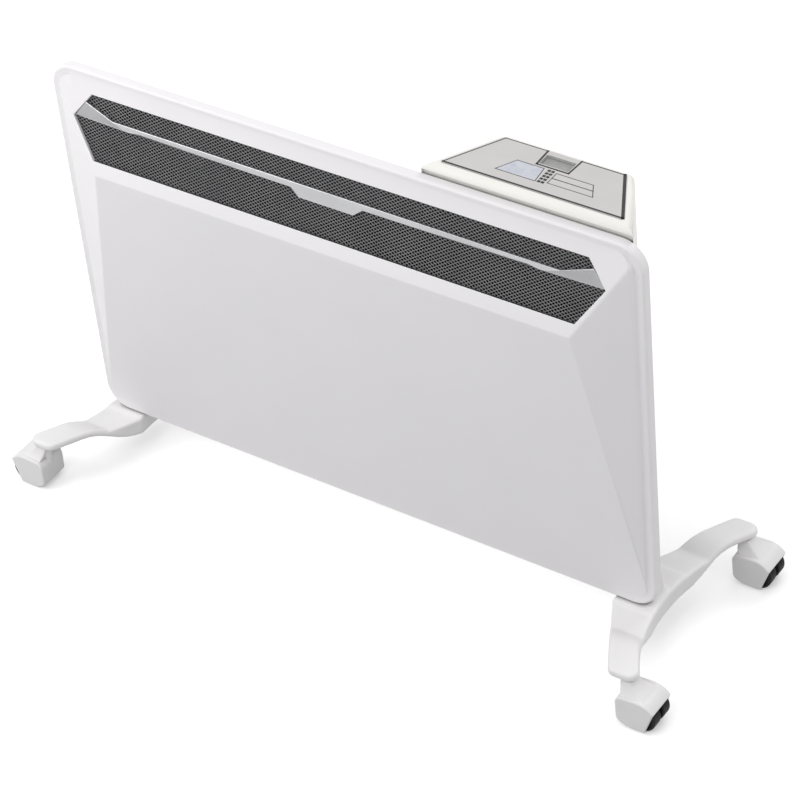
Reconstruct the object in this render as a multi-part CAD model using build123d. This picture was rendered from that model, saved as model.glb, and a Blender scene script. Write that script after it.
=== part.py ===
from build123d import *
from math import hypot, radians, tan
import os

# Panel convector heater on a castered stand, in millimetres.
# Frame: +X to the right seen from the front, the front faces -Y, +Z up.
# Origin: on the floor, under the middle of the stand.

# ---------------------------------------------------------------- driving dimensions

# Front panel: a shallow rounded tray with a hip-roofed bulge.
PANEL_WIDTH = 640.0
PANEL_HEIGHT = 413.0
PANEL_LIFT = 50.0            # floor to the panel's lower edge
PANEL_CORNER = 26.0
PANEL_EDGE_ROUND = 2.5
PANEL_SKIN = 1.2
PANEL_RETURN = 10.0          # depth of the turned-back edge
BODY_DEPTH = 50.0            # rim front to housing back
RIM_WIDTH = 8.0
BULGE = 28.0                 # ridge in front of the rim
RIDGE_DROP = 95.0            # ridge below the panel's upper edge
RIDGE_INSET = 52.0           # ridge end inside the bulge's side
SIDE_OVERRUN = 4.0           # side facets run out this far beyond the bulge's outline
OUTLINE_BEVEL = 4.0          # bevel where the facets end on the outline
FACET_ROUND = 6.0
BULGE_ROOT = 2.0             # how far the bulge runs into the slab behind it
BOSS_RADIUS = 3.6
PILOT_RADIUS = 1.6
PANEL_SCREW_INSET = 9.0      # screw axis to the panel's edge
SCREW_COLUMNS_TOP = (-270.0, -100.0, 65.0)
SCREW_COLUMNS_BOTTOM = (-270.0, -90.0, 90.0, 270.0)

# Air outlet in the upper facet, measured along the slope from the ridge.
OUTLET_LOW = 14.0
OUTLET_LOWER = 39.0          # lower edge to the bar line
OUTLET_UPPER = 25.0          # bar line to the upper edge
OUTLET_HALF_LOW = 263.0
OUTLET_HALF_MID = 289.0
OUTLET_HALF_TOP = 269.0
LIP_DEPTH = 3.0
MESH_THICKNESS = 1.0
MESH_BORDER = 2.5
MESH_COLUMN_PITCH = 20.0
MESH_ROW_PITCH = 11.0
MESH_STRAND = 2.4
BAR_HEIGHT = 5.5
BAR_THICKNESS = 3.4
BAR_SIDE_GAP = 0.4
FLARE_LENGTH = 32.0
FLARE_RISE = 16.5
FLARE_DROP = 2.2             # how far the flare slopes down towards its lower tip
TAB_HEIGHT = 7.5
TAB_TOP_WIDTH = 78.0
TAB_BOTTOM_WIDTH = 59.0

# Rear housing: a tapered steel tray that closes the panel's back.
HOUSING_SKIN = 1.0
HOUSING_FIT = 0.3
MOUTH_SIDE = 20.0            # mouth inside the panel's sides
MOUTH_BOTTOM = 14.0
MOUTH_TOP = 14.0
MOUTH_CORNER = 18.0
BACK_SIDE = 48.0             # back face inside the panel's sides
BACK_BOTTOM = 40.0
BACK_TOP = 57.0
BACK_CORNER = 12.0
INLET_SLOTS = 22
INLET_PITCH = 22.0
INLET_LENGTH = 16.0
INLET_WIDTH = 5.0
INLET_ROWS = (-5.0, 8.0)
HOOK_SPACING_X = 470.0
HOOK_SPACING_Z = 170.0
HOOK_LOW = 65.0              # lower hook slots above the panel's lower edge
HOOK_LENGTH = 18.0
HOOK_WIDTH = 7.0
BEAD_WIDTH = 14.0            # stiffening beads pressed into the back
BEAD_DEPTH = 2.0
BEAD_GAP = 11.0              # bead's end to the hook slot beside it
BEAD_HEIGHTS = (72.0, 185.0)
SCREW_SHANK = 1.5
SCREW_HEAD = 3.2
SCREW_HEAD_HEIGHT = 2.0
SCREW_HOLE = 1.8
PANEL_SCREW_LENGTH = 7.0

# Heating element and what carries it.
ELEMENT_SIDE_ROOM = 42.0     # element's end inside the housing's back
ELEMENT_HEIGHT = 100.0       # above the panel's lower edge
ELEMENT_Y = -4.0
HUB_RADIUS = 7.0
ROD_RADIUS = 4.0
ROD_OVERHANG = 26.0
WING_LENGTH = 30.0
WING_THICKNESS = 2.0
WING_ANGLE = 32.0            # from the vertical
FIN_LENGTH = 8.0
FIN_THICKNESS = 1.4
FIN_STEPS = (14.0, 21.0, 28.0)
BUSH_WALL = 3.0
BUSH_LENGTH = 10.0
SEAT_GAP = 0.05              # radial clearance of pieces pushed together
BRACKET_THICKNESS = 1.5
BRACKET_WIDTH = 30.0
BRACKET_STANDOFF = 8.0       # bracket plate to the element's end
BRACKET_FOOT = 16.0
BRACKET_CAP = 16.0           # plate beyond the element's axis
TERMINAL_RADIUS = 2.0
TERMINAL_LENGTH = 9.0
CUTOUT_RADIUS = 8.0
CUTOUT_HEIGHT = 9.0
CUTOUT_STEP = 2.0            # narrower, raised end of the cutout
BLADE_WIDTH = 6.0
BLADE_THICKNESS = 0.8
CUTOUT_ABOVE = 40.0          # cutout above the element's axis
SHIELD_SIDE_GAP = 23.0       # shield's side to the bracket
SHIELD_LOW = 48.0            # above the panel's lower edge
SHIELD_HEIGHT = 170.0
SHIELD_THICKNESS = 0.8
SHIELD_GAP = 3.5             # air gap between shield and housing back
SHIELD_LEG = 12.0
BLOCK_SIZE = (38.0, 16.0, 18.0)
BLOCK_X = 200.0
BLOCK_HEIGHT = 250.0         # above the panel's lower edge
TILT_SIZE = (24.0, 18.0, 30.0)
TILT_X = -240.0
TILT_HEIGHT = 190.0          # above the panel's lower edge

# Control unit on the back, behind the upper right corner.
UNIT_X = 198.0
UNIT_FRONT_WIDTH = 214.0
UNIT_BACK_WIDTH = 132.0
UNIT_BACK = 58.0
UNIT_DROP = 113.0            # unit's underside below the panel's top
UNIT_RISE = 10.0             # unit's top above the panel's top
UNIT_WALL = 2.2
UNIT_CORNER = 9.0
UNIT_TOP_ROUND = 6.0
UNIT_GAP = 0.4               # unit to panel and housing
LABEL_FRONT_MARGIN = 9.0
LABEL_BACK_MARGIN = 7.5
LABEL_SIDE_MARGIN = 9.0
LABEL_THICKNESS = 0.8
LABEL_RECESS = 0.6
LABEL_FIT = 0.1
LABEL_CORNER = 2.0
WINDOW_SIZE = (30.0, 14.0)
WINDOW_BACK = 11.0           # label's back edge to the window's middle
LENS_THICKNESS = 1.6
LENS_CORNER = 1.0
DISPLAY_SIZE = (38.0, 22.0, 4.5)
DISPLAY_BEVEL = 0.6
BOARD_SIZE = (112.0, 40.0, 1.6)
POST_RADIUS = 3.0
BOARD_CORNER_CUT = 6.0
CHIP_SIZE = (9.0, 7.0, 4.0)
CHIPS = 4
POWER_BOARD_SIZE = (84.0, 1.6, 60.0)
POWER_BOARD_LIFT = 6.0       # board above the unit's base
POWER_BOARD_BACK = 4.0       # board's back to the unit's back wall
RELAY_SIZE = (22.0, 14.0, 16.0)
SINK_SIZE = (30.0, 2.0, 40.0)
SINK_FINS = 6
FIN_SIZE = (1.4, 12.0, 40.0)
BOARD_FOOT = 6.0
GLAND_BORE = 4.0
GLAND_RADIUS = 8.5
GLAND_FLANGE = 11.0
GLAND_LENGTH = 16.0
GLAND_GROOVES = (4.0, 7.0, 10.0)    # below the unit's underside
GLAND_GROOVE = 1.0
BASE_THICKNESS = 2.2

# Rocker switch in the unit's left flank.
ROCKER_LENGTH = 16.0
ROCKER_HEIGHT = 11.0
ROCKER_SINK = 5.0            # pivot behind the flank
ROCKER_PROUD = 2.2           # key's ends in front of its frame
ROCKER_DISH = 1.6
ROCKER_PIN = 1.5
ROCKER_END_GAP = 1.0
ROCKER_SIDE_GAP = 0.4
FRAME_WALL = 1.2
FRAME_LIP = 1.2
FRAME_PROUD = 1.4
FRAME_DEPTH = 9.0
SWITCH_HEIGHT = 42.0         # switch middle above the unit's underside
SWITCH_BACK = 15.5           # switch middle in front of the unit's back

# Feet: one under each end, with an arm to the front and one to the back.
STEM_X = 338.0
STEM_Y = 108.0
ARM_OVERRUN = 10.0           # arm tip beyond the stem
WAIST_OUTER = 318.0          # foot's outer edge at its middle
FOOT_OUTER_RADIUS = 190.0
FOOT_INNER = 275.0           # foot's inner edge at its middle
ARM_WIDTH = 36.0
ARM_TIP_ROUND = 9.0
SADDLE_FRONT = 31.0          # saddle's front edge from the foot's middle
SADDLE_BACK = 32.0
SADDLE_ROUND = 1.5
SADDLE_GAP = 0.2             # saddle to the panel's lower edge
ARM_TOP = 58.0
ARM_THICKNESS = 8.0
ARM_LEVEL_FROM = 88.0        # where the arm has reached its full height
WAIST_TOP = 38.0
WAIST_THICKNESS = 8.0
CHEEK_INNER = 301.0
CHEEK_OUTER = 312.0
CHEEK_RISE = 50.0            # cheek above the saddle
CHEEK_DEPTH = 10.0           # cheek's depth at its top
CHEEK_BASE = 22.0            # and on the saddle
FOOT_SCREW_X = 306.5
FOOT_SCREW_RISES = (20.0, 38.0)
FOOT_SCREW_GRIP = 5.0        # cheek between the screw's head and the housing
FOOT_EDGE_ROUND = 2.5

# Casters.
WHEEL_RADIUS = 16.5
WHEEL_WIDTH = 12.4
WHEEL_SIDE_GAP = 0.5
WHEEL_EDGE_ROUND = 2.0
WHEEL_DISH = 1.4
WHEEL_RING = 2.5             # flat ring beside the tread
WHEEL_DISH_RUN = 1.0         # width of the dish's slope
WHEEL_HUB_RADIUS = 6.0
TRAIL = 19.0                 # axle behind the swivel axis
HOOD_WALL = 2.0
HOOD_WEB = 3.0
HOOD_GAP = 0.9               # hood to tread
HOOD_FLOOR = 1.5             # side plates above the floor
HOOD_ROUND = 1.6
NOSE_RADIUS = 7.0
NOSE_PLACE = (2.5, 10.5)
SHOULDER_RADIUS = 8.0
SHOULDER_PLACE = (3.0, 27.0)
MOUTH_FOOT = 25.5            # mouth's lower end behind the swivel axis
MOUTH_LEAN = 20.0            # mouth's edge from the vertical, in degrees
NECK_RADIUS = 5.5
NECK_FOOT = 24.0
STEM_RADIUS = 3.0
RUNNING_GAP = 0.05
STEM_INSERT = 6.0            # stem in the arm
STEM_ROOM = 0.2              # room above the stem's end
STEM_REACH = 16.0            # stem in the hood
COLLAR_RADIUS = 5.0
COLLAR_HEIGHT = 1.2
COLLAR_GAP = 0.3
AXLE_RADIUS = 2.5
AXLE_SEAT = 1.2              # axle's end in each side plate

# ---------------------------------------------------------------- places worked out from them

RIM_Y = -BODY_DEPTH / 2
HOUSING_BACK_Y = BODY_DEPTH / 2
PANEL_BACK_Y = RIM_Y + PANEL_RETURN
PANEL_BOTTOM = PANEL_LIFT
PANEL_TOP = PANEL_LIFT + PANEL_HEIGHT
PANEL_MIDDLE = PANEL_LIFT + PANEL_HEIGHT / 2
PANEL_HALF = PANEL_WIDTH / 2
RIDGE_Z = PANEL_TOP - RIDGE_DROP
BULGE_HALF = PANEL_HALF - RIM_WIDTH
BULGE_BOTTOM = PANEL_BOTTOM + RIM_WIDTH
BULGE_TOP = PANEL_TOP - RIM_WIDTH
FACET_RISE = BULGE_TOP - RIDGE_Z
FACET = Plane(
    origin=(0, RIM_Y - BULGE, RIDGE_Z),
    x_dir=(1, 0, 0),
    z_dir=(0, -FACET_RISE, BULGE),
)
BAR_LINE = OUTLET_LOW + OUTLET_LOWER
OUTLET_TOP = BAR_LINE + OUTLET_UPPER
FLANGE_Y = PANEL_BACK_Y - HOUSING_SKIN
PANEL_SCREWS = [
    *((x, PANEL_BOTTOM + PANEL_SCREW_INSET) for x in SCREW_COLUMNS_BOTTOM),
    *((x, PANEL_TOP - PANEL_SCREW_INSET) for x in SCREW_COLUMNS_TOP),
    *((side * (PANEL_HALF - PANEL_SCREW_INSET), PANEL_MIDDLE) for side in (-1, 1)),
]
FOOT_SCREWS = [
    (side * FOOT_SCREW_X, PANEL_BOTTOM + rise) for side in (-1, 1) for rise in FOOT_SCREW_RISES
]
ELEMENT_Z = PANEL_BOTTOM + ELEMENT_HEIGHT
ELEMENT_LENGTH = 2 * (PANEL_HALF - BACK_SIDE - ELEMENT_SIDE_ROOM)
BRACKET_X = ELEMENT_LENGTH / 2 + BRACKET_STANDOFF
SHIELD_WIDTH = 2 * (BRACKET_X - SHIELD_SIDE_GAP)
BEAD_LENGTH = HOOK_SPACING_X - HOOK_LENGTH - 2 * BEAD_GAP
HOUSING_INSIDE_Y = HOUSING_BACK_Y - HOUSING_SKIN
UNIT_FRONT = PANEL_BACK_Y + UNIT_GAP
UNIT_TOP = PANEL_TOP + UNIT_RISE
UNIT_BOTTOM = PANEL_TOP - UNIT_DROP
FLANK_SLOPE = (UNIT_FRONT_WIDTH - UNIT_BACK_WIDTH) / 2 / (UNIT_BACK - UNIT_FRONT)
LABEL_FRONT_Y = UNIT_FRONT + LABEL_FRONT_MARGIN
LABEL_BACK_Y = UNIT_BACK - LABEL_BACK_MARGIN
WINDOW_Y = LABEL_BACK_Y - WINDOW_BACK
ARM_BOTTOM = ARM_TOP - ARM_THICKNESS
WAIST_BOTTOM = WAIST_TOP - WAIST_THICKNESS
SADDLE_TOP = PANEL_BOTTOM - SADDLE_GAP
HOOD_RADIUS = WHEEL_RADIUS + HOOD_GAP + HOOD_WALL
CHAMBER_RADIUS = WHEEL_RADIUS + HOOD_GAP
CHAMBER_HALF_WIDTH = HOOD_WEB / 2 + WHEEL_WIDTH + 2 * WHEEL_SIDE_GAP
HOOD_HALF_WIDTH = CHAMBER_HALF_WIDTH + HOOD_WALL
NECK_TOP = ARM_BOTTOM - COLLAR_HEIGHT - COLLAR_GAP
WHEEL_OFFSET = HOOD_WEB / 2 + WHEEL_SIDE_GAP + WHEEL_WIDTH / 2


# ---------------------------------------------------------------- helpers

def block(x0, x1, y0, y1, z0, z1):
    """Box between two corners."""
    return Pos((x0 + x1) / 2, (y0 + y1) / 2, (z0 + z1) / 2) * Box(x1 - x0, y1 - y0, z1 - z0)


def rod(axis, place, radius, length):
    """Cylinder that starts at place and runs along +X, +Y or +Z."""
    turn = {"X": Rot(0, 90, 0), "Y": Rot(-90, 0, 0), "Z": Rot(0, 0, 0)}[axis]
    start = (Align.CENTER, Align.CENTER, Align.MIN)
    return Pos(*place) * turn * Cylinder(radius, length, align=start)


def upright(outline, y, depth):
    """Sketch drawn as seen from the front, standing at y and growing backwards."""
    return Pos(0, y, 0) * extrude(Plane.XZ * outline, amount=-depth)


def screw(length):
    """Pan-head screw pointing down, with its head's underside at the origin."""
    shank = rod("Z", (0, 0, -length), SCREW_SHANK, length)
    head = rod("Z", (0, 0, 0), SCREW_HEAD, SCREW_HEAD_HEIGHT)
    head = fillet(head.edges().group_by(Axis.Z)[-1], SCREW_HEAD_HEIGHT * 0.4)
    recess = Pos(0, 0, SCREW_HEAD_HEIGHT) * Box(SCREW_HEAD, SCREW_SHANK / 2, SCREW_HEAD_HEIGHT)
    return shank + (head - recess)


def screw_forwards(x, y, z, length):
    """Screw driven from behind, towards -Y."""
    return Pos(x, y, z) * Rot(-90, 0, 0) * screw(length)


# ---------------------------------------------------------------- front panel

def panel_slab(inset, y, depth):
    """Rounded slab of the panel's outline, made smaller all round by inset."""
    outline = RectangleRounded(PANEL_WIDTH - 2 * inset, PANEL_HEIGHT - 2 * inset, PANEL_CORNER - inset)
    return upright(Pos(0, PANEL_MIDDLE) * outline, y, depth)


def bulge_outline(inset):
    """Rounded outline that the facets end on, in the panel's front view."""
    width = 2 * (BULGE_HALF - inset)
    height = BULGE_TOP - BULGE_BOTTOM - 2 * inset
    corner = PANEL_CORNER - RIM_WIDTH - inset
    return Pos(0, PANEL_MIDDLE) * RectangleRounded(width, height, corner)


def bulge_limit(step_back):
    """Volume inside that outline, with a bevel where it meets the rim."""
    base = RIM_Y + step_back
    bevel_end = base - OUTLINE_BEVEL
    root = upright(bulge_outline(step_back), base, BULGE_ROOT)
    bevel = loft([
        Plane.XZ.offset(-base) * bulge_outline(step_back),
        Plane.XZ.offset(-bevel_end) * bulge_outline(step_back + OUTLINE_BEVEL),
    ], ruled=True)
    front = upright(bulge_outline(step_back + OUTLINE_BEVEL), base - BULGE, BULGE - OUTLINE_BEVEL)
    return root + bevel + front


def bulge(step_back):
    """Hip-roofed bulge: two prisms crossed, so that all four facets are planes."""
    base = RIM_Y + step_back
    ridge = base - BULGE
    foot_half = BULGE_HALF + SIDE_OVERRUN
    ridge_half = BULGE_HALF - RIDGE_INSET
    side = Polyline(
        (base + BULGE_ROOT, BULGE_BOTTOM), (base, BULGE_BOTTOM), (ridge, RIDGE_Z),
        (base, BULGE_TOP), (base + BULGE_ROOT, BULGE_TOP), close=True,
    )
    plan = Polyline(
        (-foot_half, base + BULGE_ROOT), (-foot_half, base), (-ridge_half, ridge),
        (ridge_half, ridge), (foot_half, base), (foot_half, base + BULGE_ROOT), close=True,
    )
    across = extrude(Plane.YZ * make_face(side), amount=foot_half, both=True)
    upwards = extrude(Pos(0, 0, BULGE_BOTTOM) * make_face(plan), amount=BULGE_TOP - BULGE_BOTTOM)
    roof = across & upwards
    creases = [e for e in roof.edges() if e.bounding_box().min.Y < ridge + BULGE / 2]
    return fillet(creases, FACET_ROUND) & bulge_limit(step_back)


def outlet_outline():
    """Hexagon of the air outlet, in the plane of the upper facet."""
    return make_face(Polyline(
        (-OUTLET_HALF_LOW, OUTLET_LOW), (OUTLET_HALF_LOW, OUTLET_LOW), (OUTLET_HALF_MID, BAR_LINE),
        (OUTLET_HALF_TOP, OUTLET_TOP), (-OUTLET_HALF_TOP, OUTLET_TOP), (-OUTLET_HALF_MID, BAR_LINE),
        close=True,
    ))


def wider(outline, amount):
    """Outline moved outwards, or inwards if negative, with its corners kept sharp."""
    return offset(outline, amount, kind=Kind.INTERSECTION)


def front_panel():
    slab = panel_slab(0, RIM_Y, PANEL_RETURN)
    slab = fillet(slab.faces().sort_by(Axis.Y)[0].edges(), PANEL_EDGE_ROUND)
    solid = slab + bulge(0)
    hollow = panel_slab(PANEL_SKIN, RIM_Y + PANEL_SKIN, PANEL_RETURN) + bulge(PANEL_SKIN)
    outlet = outlet_outline()
    lip = extrude(FACET.offset(-LIP_DEPTH) * wider(outlet, PANEL_SKIN), amount=LIP_DEPTH)
    opening = extrude(FACET * outlet, amount=BULGE / 2, both=True)
    length = FLANGE_Y - RIM_Y + BULGE
    screws = PANEL_SCREWS + FOOT_SCREWS
    bosses = Sketch() + [Pos(x, z) * Circle(BOSS_RADIUS) for x, z in screws]
    pilots = Sketch() + [Pos(x, z) * Circle(PILOT_RADIUS) for x, z in screws]
    bosses = upright(bosses, FLANGE_Y - length, length) & solid
    pilots = upright(pilots, RIM_Y + 2 * PANEL_SKIN, PANEL_RETURN)
    return solid - hollow + lip + bosses - opening - pilots


def outlet_mesh():
    """Diamond mesh behind the panel's lip, punched through one sheet."""
    outlet = outlet_outline()
    field = wider(outlet, -MESH_STRAND).face()
    slope = hypot(MESH_COLUMN_PITCH, MESH_ROW_PITCH)
    half_width = MESH_COLUMN_PITCH / 2 - MESH_STRAND / 2 * slope / MESH_ROW_PITCH
    half_height = half_width * MESH_ROW_PITCH / MESH_COLUMN_PITCH
    columns = int(OUTLET_HALF_MID / MESH_COLUMN_PITCH) + 1
    rows = int(OUTLET_TOP / MESH_ROW_PITCH) + 2
    holes = []
    for shift in (0, 0.5):
        for column in range(-columns, columns + 1):
            for row in range(rows):
                x = (column + shift) * MESH_COLUMN_PITCH
                y = (row + shift) * MESH_ROW_PITCH
                corners = [(x - half_width, y), (x, y - half_height)]
                corners += [(x + half_width, y), (x, y + half_height)]
                if all(field.is_inside(Vector(*corner, 0)) for corner in corners):
                    holes.append(Wire.make_polygon([(*corner, 0) for corner in corners], close=True))
    sheet = Face(wider(outlet, MESH_BORDER).face().outer_wire(), holes)
    return extrude(FACET.offset(-LIP_DEPTH - MESH_THICKNESS) * sheet, amount=MESH_THICKNESS)


def outlet_bar():
    """Bright bar across the mesh, with a tab in the middle and flared, bevelled ends."""
    side_slope = (OUTLET_HALF_MID - OUTLET_HALF_TOP) / OUTLET_UPPER
    tip = OUTLET_HALF_MID - BAR_SIDE_GAP
    flare_tip = tip - FLARE_RISE * side_slope
    flare_start = flare_tip - FLARE_LENGTH
    half = [
        (TAB_BOTTOM_WIDTH / 2, -TAB_HEIGHT), (TAB_TOP_WIDTH / 2, 0), (tip, 0),
        (flare_tip, FLARE_RISE), (flare_start, BAR_HEIGHT),
    ]
    outline = make_face(Polyline(*half, *[(-x, y) for x, y in reversed(half)], close=True))
    bar = extrude(outline, amount=BAR_THICKNESS)
    for side in (-1, 1):
        start = Vector(side * flare_start, BAR_HEIGHT, BAR_THICKNESS)
        end = Vector(side * flare_tip, FLARE_RISE, BAR_THICKNESS)
        low = Vector(side * tip, 0, BAR_THICKNESS - FLARE_DROP)
        slope = Plane(origin=start, z_dir=(end - start).cross(low - start) * -side)
        bar = split(bar, bisect_by=slope, keep=Keep.BOTTOM)
    return FACET.offset(-LIP_DEPTH) * Pos(0, BAR_LINE, 0) * bar


# ---------------------------------------------------------------- rear housing

def housing_tray(inset, front, back):
    """Tapered tray volume between its mouth and its back face."""
    mouth_height = PANEL_HEIGHT - MOUTH_BOTTOM - MOUTH_TOP
    mouth_middle = PANEL_MIDDLE + (MOUTH_BOTTOM - MOUTH_TOP) / 2
    back_height = PANEL_HEIGHT - BACK_BOTTOM - BACK_TOP
    back_middle = PANEL_MIDDLE + (BACK_BOTTOM - BACK_TOP) / 2
    mouth = RectangleRounded(
        PANEL_WIDTH - 2 * (MOUTH_SIDE + inset), mouth_height - 2 * inset, MOUTH_CORNER - inset)
    rear = RectangleRounded(
        PANEL_WIDTH - 2 * (BACK_SIDE + inset), back_height - 2 * inset, BACK_CORNER - inset)
    sections = [
        Plane.XZ.offset(-front) * (Pos(0, mouth_middle) * mouth),
        Plane.XZ.offset(-back) * (Pos(0, back_middle) * rear),
    ]
    return loft(sections, ruled=True)


def stiffening_beads():
    """Beads pressed inwards: the metal that stands inside, and the dents seen behind."""
    rib = SlotOverall(BEAD_LENGTH + 2 * HOUSING_SKIN, BEAD_WIDTH + 2 * HOUSING_SKIN)
    bead = SlotOverall(BEAD_LENGTH, BEAD_WIDTH)
    ribs = Sketch() + [Pos(0, PANEL_BOTTOM + rise) * rib for rise in BEAD_HEIGHTS]
    beads = Sketch() + [Pos(0, PANEL_BOTTOM + rise) * bead for rise in BEAD_HEIGHTS]
    pressed = upright(ribs, HOUSING_INSIDE_Y - BEAD_DEPTH, HOUSING_SKIN + BEAD_DEPTH)
    return pressed, upright(beads, HOUSING_BACK_Y - BEAD_DEPTH, BEAD_DEPTH)


def hook_slots():
    """Four slots in the back that the wall hooks go into."""
    slot = SlotOverall(HOOK_LENGTH, HOOK_WIDTH)
    slots = Sketch() + [
        Pos(side * HOOK_SPACING_X / 2, PANEL_BOTTOM + HOOK_LOW + rise) * slot
        for side in (-1, 1) for rise in (0, HOOK_SPACING_Z)
    ]
    return upright(slots, HOUSING_INSIDE_Y - 1, HOUSING_SKIN + 2)


def inlet_slots():
    """Two rows of air slots through the underside."""
    slot = SlotOverall(INLET_LENGTH, INLET_WIDTH)
    half_row = (INLET_SLOTS - 1) * INLET_PITCH / 2
    slots = Sketch() + [
        Pos(-half_row + i * INLET_PITCH, y) * slot for i in range(INLET_SLOTS) for y in INLET_ROWS
    ]
    return extrude(Pos(0, 0, PANEL_BOTTOM) * slots, amount=BACK_BOTTOM + 2 * HOUSING_SKIN)


def rear_housing():
    inset = PANEL_SKIN + HOUSING_FIT
    flange = panel_slab(inset, FLANGE_Y, HOUSING_SKIN)
    tray = flange + housing_tray(0, PANEL_BACK_Y, HOUSING_BACK_Y)
    inside = housing_tray(HOUSING_SKIN, FLANGE_Y, HOUSING_INSIDE_Y)
    pressed, dents = stiffening_beads()
    holes = Sketch() + [Pos(x, z) * Circle(SCREW_HOLE) for x, z in PANEL_SCREWS + FOOT_SCREWS]
    holes = upright(holes, FLANGE_Y - 1, HOUSING_SKIN + 2)
    return tray - inside + pressed - dents - hook_slots() - holes - inlet_slots()


# ---------------------------------------------------------------- heating parts

def element_section():
    """X-shaped section with short cross fins, seen along the rod."""
    section = Circle(HUB_RADIUS)
    for lean in (WING_ANGLE, -WING_ANGLE, 180 - WING_ANGLE, 180 + WING_ANGLE):
        length = HUB_RADIUS + WING_LENGTH
        wing = Pos(0, length / 2) * Rectangle(WING_THICKNESS, length)
        for step in FIN_STEPS:
            wing += Pos(0, HUB_RADIUS + step) * Rectangle(FIN_LENGTH, FIN_THICKNESS)
        section += Rot(0, 0, lean) * wing
    return section - Circle(ROD_RADIUS + SEAT_GAP)


def along_x(section, x, length):
    """Section drawn as seen along X, set on the element's axis at x."""
    return Pos(x, ELEMENT_Y, ELEMENT_Z) * extrude(Plane.YZ * section, amount=length)


def heating_element():
    return along_x(element_section(), -ELEMENT_LENGTH / 2, ELEMENT_LENGTH)


def heater_rod():
    half = ELEMENT_LENGTH / 2 + ROD_OVERHANG
    tube = rod("X", (-half, ELEMENT_Y, ELEMENT_Z), ROD_RADIUS, 2 * half)
    for x in (-half - TERMINAL_LENGTH, half):
        tube += rod("X", (x, ELEMENT_Y, ELEMENT_Z), TERMINAL_RADIUS, TERMINAL_LENGTH)
    return tube


def bush(side):
    """Ceramic bush with a collar, between the rod and its bracket."""
    start = side * BRACKET_X - BUSH_LENGTH / 2
    sleeve = along_x(Circle(ROD_RADIUS + BUSH_WALL), start, BUSH_LENGTH)
    collar_x = side * (BRACKET_X - BRACKET_THICKNESS / 2) - (BUSH_WALL if side > 0 else 0)
    collar = along_x(Circle(ROD_RADIUS + 2 * BUSH_WALL), collar_x, BUSH_WALL)
    bore = along_x(Circle(ROD_RADIUS + SEAT_GAP), start - 1, BUSH_LENGTH + 2)
    return sleeve + collar - bore


def element_bracket(side):
    """Sheet bracket: an upright plate round the bush and a foot on the housing's back."""
    reach = HOUSING_INSIDE_Y - ELEMENT_Y
    plate = Pos((reach - BRACKET_CAP) / 2, 0) * Rectangle(reach + BRACKET_CAP, BRACKET_WIDTH)
    plate = fillet(plate.vertices().group_by(Axis.X)[0], BRACKET_WIDTH / 4)
    rise = CUTOUT_ABOVE + CUTOUT_RADIUS
    plate += Pos(reach - BRACKET_CAP / 2, rise / 2) * Rectangle(BRACKET_CAP, rise)
    plate -= Circle(ROD_RADIUS + BUSH_WALL + SEAT_GAP)
    sheet = along_x(plate, side * BRACKET_X - BRACKET_THICKNESS / 2, BRACKET_THICKNESS)
    inner = side * (BRACKET_X - BRACKET_THICKNESS / 2)
    outer = inner + side * BRACKET_FOOT
    foot = block(min(inner, outer), max(inner, outer), HOUSING_INSIDE_Y - BRACKET_THICKNESS,
                 HOUSING_INSIDE_Y, ELEMENT_Z - BRACKET_WIDTH / 2, ELEMENT_Z + BRACKET_WIDTH / 2)
    return sheet + foot


def thermal_cutout():
    """Round cutout with two blades, on the right bracket."""
    x = BRACKET_X + BRACKET_THICKNESS / 2
    y = HOUSING_INSIDE_Y - BRACKET_CAP / 2
    z = ELEMENT_Z + CUTOUT_ABOVE
    body = rod("X", (x, y, z), CUTOUT_RADIUS, CUTOUT_HEIGHT)
    body += rod("X", (x, y, z), CUTOUT_RADIUS - CUTOUT_STEP, CUTOUT_HEIGHT + CUTOUT_STEP)
    blade = Box(TERMINAL_LENGTH, BLADE_WIDTH, BLADE_THICKNESS)
    for offset_z in (-CUTOUT_RADIUS / 2, CUTOUT_RADIUS / 2):
        body += Pos(x + CUTOUT_HEIGHT + TERMINAL_LENGTH / 2, y, z + offset_z) * blade
    return body


def heat_shield():
    """Sheet that keeps the heat off the housing's back, on four turned legs."""
    back = HOUSING_INSIDE_Y - SHIELD_GAP
    bottom = PANEL_BOTTOM + SHIELD_LOW
    half = SHIELD_WIDTH / 2
    shield = block(-half, half, back - SHIELD_THICKNESS, back, bottom, bottom + SHIELD_HEIGHT)
    for side in (-1, 1):
        for z in (bottom, bottom + SHIELD_HEIGHT - SHIELD_LEG):
            shield += block(side * half - SHIELD_THICKNESS / 2 - side * SHIELD_THICKNESS / 2,
                            side * half + SHIELD_THICKNESS / 2 - side * SHIELD_THICKNESS / 2,
                            back - SHIELD_THICKNESS, HOUSING_INSIDE_Y, z, z + SHIELD_LEG)
    return shield


def terminal_block():
    width, depth, height = BLOCK_SIZE
    z = PANEL_BOTTOM + BLOCK_HEIGHT
    body = block(BLOCK_X - width / 2, BLOCK_X + width / 2, HOUSING_INSIDE_Y - depth, HOUSING_INSIDE_Y,
                 z - height / 2, z + height / 2)
    body = chamfer(body.edges().filter_by(Axis.X).group_by(Axis.Y)[0], depth / 5)
    ways = 3
    step = width / ways
    for i in range(ways):
        x = BLOCK_X + (i - (ways - 1) / 2) * step
        body -= rod("Y", (x, HOUSING_INSIDE_Y - depth, z), step / 4, depth / 2)
    return body


def tilt_switch():
    """Switch that cuts the power when the heater falls over."""
    width, depth, height = TILT_SIZE
    z = PANEL_BOTTOM + TILT_HEIGHT
    body = block(TILT_X - width / 2, TILT_X + width / 2, HOUSING_INSIDE_Y - depth, HOUSING_INSIDE_Y,
                 z - height / 2, z + height / 2)
    return fillet(body.edges().filter_by(Axis.Y), width / 8)


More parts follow.
